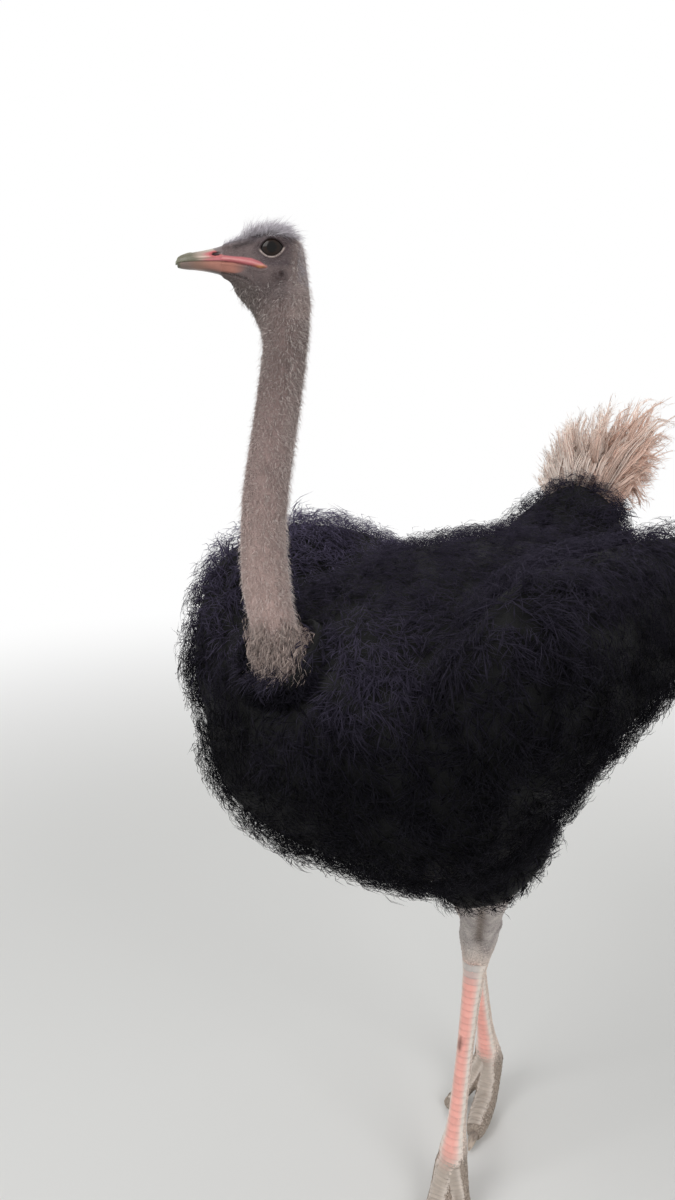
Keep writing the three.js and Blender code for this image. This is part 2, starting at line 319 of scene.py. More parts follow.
def sunkBody():
    swell = skinShape["bodyOverlap"]
    piece = fleshCopy("sunk_body", bodyNodes, swell)
    applied(piece, "REMESH", mode="VOXEL", voxel_size=skinShape["bodyVoxel"])
    keepLargest(piece)
    mesh = piece.data
    points = smoothField(mesh, coordinates(mesh), 4)
    setCoordinates(mesh, points)
    setCoordinates(mesh, points - normalsOf(mesh) * swell)
    points, normals = coordinates(mesh), normalsOf(mesh)
    for centre, width, lift in skinShape["fuller"]:
        away = lengths((points - np.array(place(*centre))) * [1, 1, 0.5])
        points[:, 2] += lift * bump(away, width) * smoothstep(0.1, 0.7, normals[:, 2])
    # the belly is tucked up, because its plumes hang below their roots
    under = smoothstep(0.0, 0.7, -normals[:, 2]) * smoothstep(1.12, 0.94, points[:, 2])
    points[:, 2] += skinShape["tuck"] * under
    setCoordinates(mesh, points)
    points, normals = coordinates(mesh), normalsOf(mesh)
    tree = treeOfMesh(mesh)
    outside = (points, normals, skinTriangles(mesh))
    depth = np.full(len(points), skinShape["coatDepth"])
    least = skinShape["leastThick"]
    for i, (point, normal) in enumerate(zip(points, normals)):
        start = Vector(point - normal * least)
        hit = tree.ray_cast(start, Vector(-normal), 0.4)
        if hit[0] is not None:
            depth[i] = min(depth[i], (hit[3] + least) * skinShape["thinShare"])
    depth = smoothField(mesh, depth, 6)
    steps = 4
    for _ in range(steps):
        points = coordinates(mesh) - normalsOf(mesh) * (depth / steps)[:, None]
        setCoordinates(mesh, smoothField(mesh, points, 1))
    return piece, outside


def joinPieces(pieces, name):
    whole = bmesh.new()
    for piece in pieces:
        whole.from_mesh(piece.data)
        bpy.data.objects.remove(piece)
    return pieceFrom(whole, name)


def thinBody(skin):
    # the skin under the plumage never shows, so it gets by with few faces
    points = coordinates(skin.data)
    forward, height = standY - points[:, 1], points[:, 2]
    # the legs, and the neck from its foot up
    bare = (height < skinShape["legTop"]) | ((height > 1.37) & (forward > 0.4))
    near = nearestDistance(treeOf(neckNodes + legNodes + ["head"]), points[bare])
    kept = np.zeros(len(points), bool)
    kept[bare] = near < 0.008
    kept |= (height < 0.7) | (height > 1.75)
    group = skin.vertex_groups.new(name="under_plumage")
    group.add([int(i) for i in np.flatnonzero(~kept)], 1.0, "REPLACE")
    ratio = (2 * kept.sum() + skinShape["bodyFaces"]) / (2 * len(points))
    applied(skin, "DECIMATE", ratio=ratio, vertex_group="under_plumage")
    skin.vertex_groups.clear()


def refine(skin, region):
    # cuts the faces in one region to half their size and smooths the new points
    mesh = skin.data
    chosen = region(coordinates(mesh))
    bm = bmesh.new()
    bm.from_mesh(mesh)
    edges = [e for e in bm.edges if chosen[e.verts[0].index] and chosen[e.verts[1].index]]
    bmesh.ops.subdivide_edges(bm, edges=edges, cuts=1, use_grid_fill=True)
    bm.verts.index_update()
    bm.to_mesh(mesh)
    bm.free()
    points = coordinates(mesh)
    smoothed = smoothField(mesh, points, 2)
    inside = region(points)
    points[inside] = smoothed[inside]
    setCoordinates(mesh, points)


def wholeHead(points):
    places = toHead(points)
    return (lengths(places - headCentre) < 75) | (places[:, 0] > 60)


def byHead(places, low):
    # the head and the neck's top, down to a height below the eyes
    return (places[:, 2] > low) & (lengths(places - headCentre) < 190)


def faceSides(points):
    places = toHead(points)
    face = (places[:, 0] > -8) & (places[:, 0] < 84) & (places[:, 2] > -62) & (places[:, 2] < 24)
    return (face | (np.hypot(places[:, 0], places[:, 2]) < 34)) & (abs(places[:, 1]) > 8)


def hocksAndFeet(points):
    return (points[:, 2] < 0.10) | ((points[:, 2] > 0.565) & (points[:, 2] < 0.665))


def makeSkin():
    body, outside = sunkBody()
    limbs = fleshCopy("limbs", limbNodes, skinShape["overlap"])
    skin = joinPieces([body, limbs], "skin")
    applied(skin, "REMESH", mode="VOXEL", voxel_size=skinShape["voxel"])
    keepLargest(skin)
    mesh = skin.data
    setCoordinates(mesh, smoothField(mesh, coordinates(mesh), 3))
    thinBody(skin)
    print("skin fused:", len(skin.data.vertices), "points")
    for region in (wholeHead, faceSides, hocksAndFeet):
        refine(skin, region)
    print("skin refined:", len(skin.data.vertices), "points")
    return skin, outside


# head: lids, brow, cheeks, gape and ear, in millimetres from between the eyes
headShape = {
    "eyeOut": 19.5,  # middle of each eyeball, out from the middle of the head
    "eyeRound": 23.0,
    "openLong": 17.6,  # half the length of the lids' opening
    "openTall": 12.6,
    "openTilt": 6.0,  # degrees, front corner lower
    "lidThick": 1.5,
    "lidFade": 1.8,  # the lids blend into the face at this many opening radii
    "browRise": 2.6,
    "gapeDeep": 2.2,
    "gapeWide": 1.5,
    "earRound": 5.0,
    "earDeep": 4.0,
}
# lines on the head's side: forward and up
mouthLine = [(84, -20.6), (62, -21.5), (48, -24), (32, -27), (18, -30.4), (7, -29.6)]
jawLine = [(84, -36), (66, -39), (57, -40.5), (41, -45.5), (23, -57), (12, -66)]


def opening(forward, up):
    # 1 on the edge of the lids' almond opening, less inside it
    tilt = math.radians(headShape["openTilt"])
    along = (forward * math.cos(tilt) - up * math.sin(tilt)) / headShape["openLong"]
    across = (forward * math.sin(tilt) + up * math.cos(tilt)) / headShape["openTall"]
    pointed = (abs(across) + np.sqrt(across**2 + 4 * along**2)) / 2
    return 0.6 * pointed + 0.4 * np.hypot(along, across)


def lineDistance(forward, up, line):
    # how far each point is from a line on the head's side, and whether it is above the line
    best = np.full(len(forward), 1e9)
    side = np.zeros(len(forward))
    point = np.stack([forward, up], 1)
    for a, b in zip(line[:-1], line[1:]):
        a, b = np.array(a, float), np.array(b, float)
        along = b - a
        share = np.clip((point - a) @ along / (along @ along), 0, 1)
        gap = point - a - share[:, None] * along
        distance = np.hypot(*gap.T)
        closer = distance < best
        best[closer] = distance[closer]
        side[closer] = np.sign(gap[closer, 1])
    return best, side


def lineShade(forward, up, line, width):
    return bump(lineDistance(forward, up, line)[0], width)


def sinkNeck(skin):
    # the neck's skin lies under its down, and deeper under the tufts at its foot
    mesh = skin.data
    points = coordinates(mesh)
    places = toHead(points)
    gap = nearestDistance(treeOf(neckNodes + ["head"]), points)
    height = points[:, 2]
    depth = skinShape["downDepth"] + skinShape["footDepth"] * smoothstep(1.52, 1.40, height)
    depth += skinShape["footDepth"] * smoothstep(1.42, 1.35, height)
    fade = np.where(byHead(places, -110), smoothstep(-65, -95, places[:, 2]), 1.0)
    depth *= (gap < 0.010) * (height > 1.34) * fade
    depth = smoothField(mesh, depth, 8)
    steps = 3
    for _ in range(steps):
        setCoordinates(mesh, coordinates(mesh) - normalsOf(mesh) * (depth / steps)[:, None])


def sculptHead(skin):
    mesh = skin.data
    places = toHead(coordinates(mesh))
    normals = normalsOf(mesh) @ headTurned
    facing = np.stack([-normals[:, 1], normals[:, 0], normals[:, 2]], 1)
    forward, left, up = places.T
    near = (forward > -75) & (up > -95) & (forward < 175)
    side = np.where(left < 0, -1.0, 1.0)

    # the skin sinks by the hair's depth on the crown and nape, little on the face, and below the bill's horn
    depth = 1.0 + 5.5 * smoothstep(2, 26, up) * smoothstep(98, 70, forward)
    depth += 2.0 * smoothstep(-20, -45, forward)
    depth = depth * smoothstep(86, 76, forward) * smoothstep(-95, -65, up)
    depth = depth + 5.2 * smoothstep(77, 88, forward)
    places[near] -= (facing * depth[:, None])[near]

    # lores between eye and bill sink in, and the cheek below the eye is full
    sideways = smoothstep(0.25, 0.75, abs(facing[:, 1]))
    hollow = 3.2 * bump(forward - 47, 17) * bump(up - 2, 10)
    hollow += 1.6 * bump(forward + 6, 20) * bump(up + 24, 5)
    full = 2.2 * bump(forward + 2, 20) * bump(up + 40, 13)
    temple = 1.5 * bump(forward + 30, 12) * bump(up - 4, 14)
    gape, above = lineDistance(forward, up, mouthLine)
    jaw, _ = lineDistance(forward, up, jawLine)
    lips = 1.5 * bump(gape - 3.6, 1.9) * np.where(above > 0, 1.0, 0.7)
    lips *= smoothstep(-4, 10, forward)
    groove = headShape["gapeDeep"] * bump(gape, headShape["gapeWide"]) * smoothstep(3, 14, forward)
    crease = 1.5 * bump(jaw, 2.2) * smoothstep(86, 70, forward)
    ear = np.hypot(forward + 15, up + 39)
    earDeep = headShape["earDeep"] * smoothstep(headShape["earRound"], headShape["earRound"] * 0.45, ear)
    earRim = 0.9 * bump(ear - headShape["earRound"] * 1.35, 1.8)
    push = full + temple + lips + earRim - hollow - groove - crease - earDeep
    push *= sideways * near * (forward < 84)
    places += facing * push[:, None]

    # lids wrap the eyeball with an almond opening, under a brow
    forward, left, up = places.T
    out = abs(left)
    spread = opening(forward, up)
    eyeSide = near & (out > 10) & (facing[:, 1] * side > 0.1) & (spread < 3)
    inner = eyeSide & (spread < 1.0)
    outer = eyeSide & (spread >= 1.0)
    snapped = (inner & (spread > 0.9)) | (outer & (spread < 1.1))
    scale = np.where(snapped, 1 / np.maximum(spread, 1e-3), 1.0)
    forward = forward * scale
    up = up * scale
    ball = headShape["eyeOut"] + np.sqrt(np.maximum(headShape["eyeRound"] ** 2 - forward**2 - up**2, 0))
    upper = smoothstep(-2, 6, up + forward * 0.1)
    lid = ball + headShape["lidThick"] * smoothstep(0.98, 1.1, spread * scale) + 0.55
    fade = smoothstep(headShape["lidFade"], 1.06, spread)
    overBall = (forward**2 + up**2 < headShape["eyeRound"] ** 2) & (spread > 1)
    raised = out + (np.maximum(lid, out - 1.5) - out) * fade
    raised = np.where(overBall, np.maximum(raised, ball + 1.3), raised)
    raised += headShape["browRise"] * upper * bump(spread - 1.62, 0.36) * smoothstep(0, 10, up)
    raised += 0.5 * bump(spread - 1.25, 0.07) - 0.7 * upper * bump(spread - 1.42, 0.08)
    raised -= 0.8 * (1 - upper) * (bump(spread - 1.33, 0.07) + 0.7 * bump(spread - 1.62, 0.09))
    out = np.where(outer, raised, out)
    out = np.where(inner, np.minimum(out, ball - np.where(snapped, 1.2, 4.0)), out)
    places = np.stack([forward, out * side, up], 1)

    points = coordinates(mesh)
    points[near] = fromHead(places)[near]
    setCoordinates(mesh, points)
    print("head shaped")


# where the legs bend, as in the solids. The shins' flat front faces a little to the bird's left
shinFront = (0.45, -0.89, 0.0)
legJoints = {
    "left": {"hand": 1, "knee": place(0.150, 0.105, 0.985), "hock": place(-0.050, -0.012, 0.595),
             "ball": place(0.108, 0.026, 0.092), "toeRise": 0.046},
    "right": {"hand": -1, "knee": place(0.110, -0.175, 0.985), "hock": place(-0.158, -0.100, 0.603),
              "ball": place(-0.222, -0.058, 0.112), "toeRise": 0.066},
}


def alongLine(points, start, end):
    # share along a line, and the offset from it
    start, axis = np.array(start), np.array(end) - np.array(start)
    share = (points - start) @ axis / (axis @ axis)
    return share, points - start - share[:, None] * axis


def polyline(line, forward):
    places = np.array(sorted(line), float)
    return np.interp(forward, places[:, 0], places[:, 1])


coralTop = [(84, -9), (76, -12), (60, -13.5), (48, -14), (32, -16), (18, -21), (9, -27)]
mandibleFoot = [(84, -35), (70, -37), (58, -37.5), (48, -36), (40, -32)]
# one set of markings for the skin, for the bill's horn and for what grows on them; some of them are painted
# shade and painted light
markings = {
    "face": "#726463", "crown": "#b8b0b6", "loreShade": "#3f3536", "brow": "#5b5056", "socket": "#54474a",
    "lidRim": "#cdbdb5", "lidShade": "#2b2223", "ear": "#584a4a", "throatShade": "#5a504c", "crease": "#3b302c",
    "coral": "#c77479", "coralHighlight": "#dca5a0", "corner": "#dca05e", "gape": "#5e2f2b", "mandible": "#b27a6b",
    "neck": "#b29b97", "nape": "#cdb9b4", "neckDark": "#7d6c69", "neckLow": "#dcc2bb",
    "shadeUnderPlumage": "#020203",
    "shank": "#aba2a0", "shankPale": "#cdc5c0", "tarsusSide": "#efdccf", "scab": "#7d554c",
    "scute": "#ffb8ab", "scutePale": "#f0e4da", "toe": "#b3a497", "toeLit": "#bdb0a4", "grooveShade": "#7d6f64",
    "horn": "#c5757a", "culmen": "#b7ac9e", "hornFore": "#b09c8f", "hornStreak": "#e8cfc0",
    "hornFold": "#8b7464", "hornEdgeShade": "#6b3c36", "nostril": "#2c1416", "nostrilRim": "#c25d60",
    "nail": "#5f5d49", "nailTop": "#a39c88", "nailTip": "#6d7150",
    "lowerMiddle": "#957263", "lowerFore": "#85726a", "lowerTip": "#5d5c49",
}


def headColour(forward, out, up, colour):
    jaw, below = lineDistance(forward, up, jawLine)
    ear = np.hypot((forward + 13) / 1.1, up + 41)
    spread = opening(forward, up)
    side = smoothstep(8, 14, out)
    lower = smoothstep(3, -3, up + 0.1 * forward)
    # the coral skin along the gape, and the bare side of the lower jaw
    mouth, top, foot = (polyline(line, forward) for line in (mouthLine, coralTop, mandibleFoot))
    jawSide = smoothstep(5, 10, forward) * smoothstep(5, 12, out)
    coral = smoothstep(top + 1.2, top - 0.8, up) * smoothstep(mouth - 0.6, mouth + 0.4, up) * jawSide
    bare = smoothstep(foot - 1.5, foot + 1.5, up) * smoothstep(mouth + 0.4, mouth - 0.6, up)
    bare *= smoothstep(34, 66, forward) * smoothstep(4, 10, out)
    return painted(colour, [
        ("face", smoothstep(-100, -62, up)),
        # paler behind the eye and down the back of the neck: its own paler down, with painted light along
        # that edge
        ("nape", 0.6 * smoothstep(-16, -46, forward)),
        ("crown", smoothstep(10, 24, up + 0.12 * forward)),
        # painted shade under the jaw
        ("throatShade", 0.8 * smoothstep(-1, 6, -jaw * below) * smoothstep(8, 30, forward)),
        # painted shade: the dark stripe on the lores, the brow's shadow above and below the eye, and the
        # shade in the socket behind it
        ("loreShade", 0.95 * lineShade(forward, up, [(60, 2), (44, 7), (30, 11)], 4.6)),
        ("brow", 0.9 * lineShade(forward, up, [(30, 15), (18, 21), (0, 24), (-16, 21), (-26, 12)], 5.5)),
        ("brow", 0.6 * lineShade(forward, up, [(14, -20), (-2, -23), (-24, -20)], 5.0)),
        ("socket", 0.55 * lineShade(forward, up, [(-22, 8), (-27, -6), (-22, -18)], 7.0)),
        ("ear", 0.85 * smoothstep(17, 4, ear)),
        # painted shade in the socket round the eye's opening
        ("socket", side * smoothstep(2.1, 1.15, spread) * 0.8),
        ("lidRim", side * lower * bump(spread - 1.1, 0.075)),
        # painted shade under the upper lid, and in the crease where the lids meet the eyeball
        ("lidShade", side * (1 - lower) * smoothstep(1.22, 1.1, spread)),
        ("lidShade", side * smoothstep(1.02, 0.98, spread)),
        ("coral", coral),
        # a painted highlight along the middle of the coral band
        ("coralHighlight", 0.7 * coral * bump(up - (0.55 * top + 0.45 * mouth), 1.4)),
        ("corner", coral * bump(forward - 17, 8) * smoothstep(mouth + 6, mouth, up)),
        ("mandible", 0.92 * bare),
        # painted shade in the slit of the mouth
        ("gape", 0.8 * lineShade(forward, up, mouthLine, 0.9) * jawSide),
        # painted shadow along the crease below the lower jaw
        ("crease", 0.85 * bump(jaw, 1.7) * smoothstep(14, 40, forward)),
    ])


def grain(points, size, seed=0.0):
    # soft noise of a given size, from -1 to 1, by sums of turned waves
    total = np.zeros(len(points))
    for turn in range(6):
        angle = 1.7 * turn + seed
        axis = np.array([math.sin(angle * 1.3), math.cos(angle * 2.1), math.sin(angle * 0.7 + 1)])
        axis /= np.linalg.norm(axis)
        other = np.roll(axis, 1)
        wave = points @ axis * (2 * math.pi / size) * (1 + 0.23 * turn) + seed * 3 + turn
        total += np.sin(wave + 1.6 * np.sin(points @ other * (2 * math.pi / size) * 0.61 + turn * 2 + seed))
    return total / 3.2


def birdColour(points, shares):
    # shares: how much each point belongs to the legs and the body, from 0 to 1
    count, height = len(points), points[:, 2]
    places = toHead(points)
    forward, left, up = places.T
    streak = grain(points * [1, 1, 0.22], 0.013, 2.0)
    colour = painted(plainColour(markings["neck"], count), [
        # the back of the neck is paler: its own paler down, with painted light along that edge
        ("nape", 0.8 * smoothstep(-14, -48, forward)),
        ("neckDark", 0.35 * smoothstep(0.1, 1.0, streak)),
        ("neckLow", 0.8 * (1 - smoothstep(1.42, 1.75, height))),
        ("neckDark", 0.7 * smoothstep(1.72, 1.88, height)),
    ])
    part = byHead(places, -105)
    if part.any():
        colour[part] = headColour(forward[part], abs(left[part]), up[part], colour[part])
    leg = painted(plainColour(markings["shank"], count), [
        ("shankPale", 0.5 + 0.5 * grain(points, 0.06, 4.0)),
        ("grooveShade", 0.75 * hockGroove(points)),
        ("tarsusSide", smoothstep(0.60, 0.50, height) * smoothstep(0.08, 0.16, height)),
        ("toe", smoothstep(0.16, 0.1, height)),
        ("scute", pinkBand(points)),
        ("scab", scab(points)),
    ])
    colour = colour + (leg - colour) * shares["legs"][:, None]
    # the skin under the plumage is painted near black, as painted shade deep in the coat
    body = plainColour(markings["shadeUnderPlumage"], count)
    return colour + (body - colour) * shares["body"][:, None]


def pinkBand(points):
    # the rosy band down the front of each long foot bone
    share = np.zeros(len(points))
    for leg in legJoints.values():
        along, offset = alongLine(points, leg["hock"], leg["ball"])
        size = lengths(offset)
        front = -offset[:, 1] / np.maximum(size, 1e-6)
        inside = smoothstep(0.055, 0.045, size) * smoothstep(0.11, 0.2, along) * smoothstep(1.02, 0.9, along)
        share = np.maximum(share, smoothstep(0.50, 0.72, front) * inside)
    return share


def hockGroove(points):
    # painted shade in the hollow down the front of each shin, as far as the hock
    share = np.zeros(len(points))
    for leg in legJoints.values():
        along, offset = alongLine(points, leg["knee"], leg["hock"])
        heading = np.array(shinFront)
        across = offset @ np.cross(heading, [0, 0, 1.0])
        inside = (offset @ heading > 0) * (lengths(offset) < 0.11)
        inside = inside * smoothstep(0.3, 0.5, along) * smoothstep(1.04, 0.85, along)
        share = np.maximum(share, bump(across, 0.011) * inside)
    return share


def scab(points):
    # an old graze halfway down the front of the left leg
    leg = legJoints["left"]
    spot = leg["hock"].lerp(leg["ball"], 0.47) + Vector((-0.004, -0.024, 0))
    away = lengths((points - np.array(spot)) / [0.009, 0.02, 0.024])
    return 0.85 * smoothstep(1.0, 0.4, away)


def tint(mesh, colours):
    attribute = mesh.color_attributes.new("tint", "FLOAT_COLOR", "POINT")
    values = np.ones((len(colours), 4), np.float32)
    values[:, :3] = colours
    attribute.data.foreach_set("color", values.ravel())
    mesh.color_attributes.active_color = attribute


def smoothShaded(mesh):
    mesh.polygons.foreach_set("use_smooth", np.ones(len(mesh.polygons), bool))


# bill horn: a broad flat upper half with a nail at its tip, and a lower half inside its edge
billShape = {
    "base": 70.0,  # forward of the eyes, as the nostril's place is
    "nostrilAt": 88.0,
    "nostrilUp": -9.5,
    "nostrilLong": 8.8,
    "nostrilTall": 3.3,
    "nostrilDeep": 3.4,
    "mouthGap": 0.35,
    "baseSunk": 2.6,  # the base lies under the skin by this
}
# forward, half width, top of the culmen, mouth line, underside
billStations = [
    (66, 26.6, 10.5, -20.6, -45),
    (76, 24.9, 6.4, -20.6, -41.5),
    (90, 22.9, 1.4, -20.6, -37.5),
    (108, 20.6, -3.0, -20.8, -34.5),
    (124, 18.2, -5.8, -21.2, -33.0),
    (136, 15.8, -8.4, -21.8, -31.8),
    (146, 12.2, -12.0, -22.6, -30.8),
    (152, 8.4, -15.6, -23.6, -29.6),
    (155.5, 2.4, -20.8, -25.0, -27.6),
]


def between(stations, forward, column):
    # a smooth value between stations
    places = np.array(stations, float)
    t = np.interp(forward, places[:, 0], np.arange(len(places)))
    i = np.clip(t.astype(int), 0, len(places) - 2)
    share = t - i
    values = np.concatenate([places[:1], places, places[-1:]])[:, column]
    a, b, c, d = values[i], values[i + 1], values[i + 2], values[i + 3]
    return b + 0.5 * share * (c - a + share * (2 * a - 5 * b + 4 * c - d + share * (3 * (b - c) + d - a)))


def shapedGrid(name, rows, around, shape):
    # a grid wrapped into a closed shape: shape(down, turn) gives each point's place, both from 0 to 1
    bm = bmesh.new()
    bmesh.ops.create_grid(bm, x_segments=rows, y_segments=around, size=1)
    flat = np.array([v.co for v in bm.verts])
    places = shape((flat[:, 0] + 1) / 2, (flat[:, 1] + 1) / 2)
    for vertex, point in zip(bm.verts, places):
        vertex.co = point
    bmesh.ops.remove_doubles(bm, verts=bm.verts, dist=2e-6)
    bmesh.ops.holes_fill(bm, edges=bm.edges)
    bmesh.ops.recalc_face_normals(bm, faces=bm.faces)
    piece = pieceFrom(bm, name)
    smoothShaded(piece.data)
    return piece


def nostril(forward, up):
    # 1 on the edge of the nostril's long oval, less inside it
    along = forward - billShape["nostrilAt"]
    across = up - billShape["nostrilUp"] + 0.10 * along
    return np.hypot(along / billShape["nostrilLong"], across / billShape["nostrilTall"])


def halfBill(upper):
    def shape(down, turn):
        tip = billStations[-1][0] if upper else billStations[-1][0] - 3.5
        forward = billShape["base"] + (tip - billShape["base"]) * np.sin(down * math.pi / 2) ** 0.9
        width, top, mouth, foot = (between(billStations, forward, c) for c in (1, 2, 3, 4))
        under = billShape["baseSunk"] * smoothstep(84, 71, forward)
        width, top, foot = width - under, top - under, foot + under
        angle = 2 * math.pi * turn
        cosine, sine = np.cos(angle), np.sin(angle)
        if upper:
            high = top - mouth
            # a flat topped arch over a flat palate
            arch = np.sign(sine) * abs(sine) ** 0.92
            left = width * np.sign(cosine) * abs(cosine) ** 0.94
            up = mouth + billShape["mouthGap"] + np.where(sine > 0, high * arch, 1.2 * sine)
            ridge = 0.9 * bump(left, 5.5) * smoothstep(130, 100, forward)
            nail = 1.1 * smoothstep(9.5, 6.5, abs(left)) * smoothstep(127, 133, forward)
            nail *= smoothstep(156, 150, forward)
            groove = 0.9 * bump(up - (mouth + 0.42 * high), 1.1) * smoothstep(132, 118, forward)
            groove *= smoothstep(92, 98, forward)
            up = up + np.where(sine > 0.3, ridge + nail, 0)
            hole = nostril(forward, up)
            pit = billShape["nostrilDeep"] * smoothstep(1.05, 0.55, hole) - 0.7 * bump(hole - 1.35, 0.22)
            inward = np.where(sine > 0.05, pit + groove, 0) * smoothstep(5, 10, abs(left))
            left = left - np.sign(left) * inward
        else:
            width = width - 1.3
            left = width * np.sign(cosine) * abs(cosine) ** 0.9
            low = mouth - foot
            hanging = low * sine * (0.82 + 0.18 * abs(sine))
            up = mouth - billShape["mouthGap"] + np.where(sine > 0, 1.2 * sine, hanging)
            # the two rods of the lower jaw stand out at the sides of a softer floor
            up = up + np.where(sine < -0.4, 1.4 * bump(left, 8) * smoothstep(140, 120, forward), 0)
        tipEnd = down > 1 - 1e-6
        left = np.where(tipEnd, 0, left)
        up = np.where(tipEnd, mouth + (0.5 if upper else -1.2), up)
        return fromHead(np.stack([forward, left, up], 1))

    name = "bill_horn_upper" if upper else "bill_horn_lower"
    piece = shapedGrid(name, 130, 110, shape)
    forward, left, up = toHead(coordinates(piece.data)).T
    tint(piece.data, billColour(forward, abs(left), up, upper))
    return piece


def billColour(forward, out, up, upper):
    count = len(forward)
    inside = np.clip(forward, 66, 155)
    top, mouth, chin = (between(billStations, inside, column) for column in (2, 3, 4))
    if not upper:
        return painted(plainColour(markings["mandible"], count), [
            # the underside of the lower bill is painted with the throat's shade
            ("throatShade", smoothstep(-0.55, -0.95, (up - mouth) / (mouth - chin))),
            ("lowerMiddle", smoothstep(92, 118, forward)),
            ("lowerFore", smoothstep(116, 138, forward)),
            ("lowerTip", smoothstep(143, 151, forward)),
        ])
    share = (up - mouth) / np.maximum(top - mouth, 1)
    hole, side = nostril(forward, up), smoothstep(6, 10, out)
    border = polyline(coralTop + [(98, 1.0)], forward)
    tip = smoothstep(113, 131, forward + 6 * smoothstep(0.5, 0.2, share))
    return painted(plainColour(markings["horn"], count), [
        ("culmen", smoothstep(0.62, 0.86, share) * smoothstep(78, 92, forward)),
        ("hornFore", smoothstep(98, 116, forward)),
        ("hornStreak", 0.9 * bump(share - 0.36, 0.07) * smoothstep(132, 112, forward)),
        ("hornFold", 0.8 * bump(share - 0.24, 0.07) * smoothstep(86, 98, forward)),
        # painted shade along the mouth's slit, on the upper bill's edge
        ("hornEdgeShade", 0.8 * smoothstep(0.10, 0.03, share) * smoothstep(150, 130, forward)),
        ("nostrilRim", 0.9 * smoothstep(2.3, 1.2, hole) * side),
        ("nostril", smoothstep(1.0, 0.75, hole) * side),
        ("face", smoothstep(border - 1.2, border + 1.5, up) * smoothstep(100, 92, forward)),
        ("nail", tip * 0.94),
        ("nailTop", 0.6 * tip * smoothstep(0.86, 0.98, share) * smoothstep(150, 136, forward)),
        ("nailTip", 0.7 * smoothstep(147, 155, forward)),
    ])


# how things grow on the skin
patchSize = 0.003  # each tuft's room on its piece's OFBake map


def skinTriangles(mesh):
    mesh.calc_loop_triangles()
    corners = np.empty(len(mesh.loop_triangles) * 3, np.int32)
    mesh.loop_triangles.foreach_get("vertices", corners)
    return corners.reshape(-1, 3)


def unit(vectors):
    return vectors / np.maximum(np.linalg.norm(vectors, axis=-1, keepdims=True), 1e-9)


def rootsOn(surface, chosen, count, seed, spacing=0.0):
    # seeded places on the chosen part of the skin, with their normals
    rng = np.random.default_rng(seed)
    points, normals, triangles = surface
    kept = triangles[chosen[triangles].min(1) > 0.5]
    a, b, c = (points[kept[:, i]] for i in range(3))
    area = lengths(np.cross(b - a, c - a))
    picked = rng.choice(len(kept), count, p=area / area.sum())
    s, t = rng.random(count), rng.random(count)
    flip = s + t > 1
    s[flip], t[flip] = 1 - s[flip], 1 - t[flip]
    share = np.stack([1 - s - t, s, t], 1)[:, :, None]
    where = (points[kept[picked]] * share).sum(1)
    facing = unit((normals[kept[picked]] * share).sum(1))
    if spacing:
        cells = np.floor((where + rng.random(3)) / spacing).astype(np.int64)
        _, first = np.unique(cells, axis=0, return_index=True)
        first.sort()
        where, facing = where[first], facing[first]
    return where, facing


def onSurface(direction, normals):
    # the part of a direction that lies along the surface
    direction = np.broadcast_to(direction, normals.shape)
    return unit(direction - (direction * normals).sum(1, keepdims=True) * normals)


def turned(vectors, axes, angles):
    cosine, sine = np.cos(angles)[:, None], np.sin(angles)[:, None]
    return vectors * cosine + np.cross(axes, vectors) * sine


def slivers(paths, lift, width, thick, colours, patches, fold=False, soft=1.0):
    # barbs and hairs: closed slivers along their paths, pointed at both ends and widest between them.
    # A folded one has only four faces: its back edge runs straight from root to tip.
    count, steps = paths.shape[:2]
    width, thick = np.broadcast_to(width, count), np.broadcast_to(thick, count)
    share = np.linspace(0, 1, steps)
    # each sliver is painted darker at its root, as painted shade deep in the coat, and lighter towards its
    # tip
    tones = 1 + soft * (np.interp(share, [0, 0.5, 1], [0.62, 1.0, 1.18]) - 1)
    if fold:
        across = unit(np.cross(lift, paths[:, -1] - paths[:, 0]))
        half = across * (width / 2)[:, None]
        points = np.stack([paths[:, 0], paths[:, 1] + half, paths[:, 1] - half, paths[:, 2]], 1)
        faces = np.array([[0, 2, 1], [3, 1, 2], [0, 1, 3], [0, 3, 2]])
        spots = np.array([[0.5, 0.0], [0.0, 0.5], [1.0, 0.5], [0.5, 1.0]])
        rungs = np.array([0, 1, 1, 2])
    else:
        rings, rungs, spots = [paths[:, 0]], [0], [[0.5, 0.0]]
        for i in range(1, steps - 1):
            swell = 1.0 if steps == 3 else math.sin(math.pi * (0.18 + 0.74 * share[i])) ** 0.8
            ahead = unit(paths[:, i + 1] - paths[:, i - 1])
            side = unit(np.cross(lift, ahead)) * (width * swell / 2)[:, None]
            high = unit(np.cross(ahead, side)) * (thick * swell)[:, None]
            rings += [paths[:, i] + side, paths[:, i] + high, paths[:, i] - side]
            rungs += [i, i, i]
            spots += [[0.0, share[i]], [0.5, share[i]], [1.0, share[i]]]
        rings.append(paths[:, -1])
        rungs.append(steps - 1)
        spots.append([0.5, 1.0])
        points = np.stack(rings, 1)
        last = len(rings) - 1
        faces = [[0, 2, 1], [0, 3, 2], [0, 1, 3]]
        for i in range(steps - 3):
            for k in range(3):
                a, b = 1 + 3 * i + k, 1 + 3 * i + (k + 1) % 3
                faces += [[a, b, b + 3], [a, b + 3, a + 3]]
        faces += [[last, last - 3, last - 2], [last, last - 2, last - 1], [last, last - 1, last - 3]]
        faces, spots, rungs = np.array(faces), np.array(spots), np.array(rungs)
    shades = colours[:, None, :] * tones[rungs][None, :, None]
    maps = patches[:, None, :] + (spots - 0.5)[None] * patchSize
    size = points.shape[1]
    faces = faces[None] + (np.arange(count) * size)[:, None, None]
    return points.reshape(-1, 3), faces.reshape(-1, 3), shades.reshape(-1, 3), maps.reshape(-1, 2)


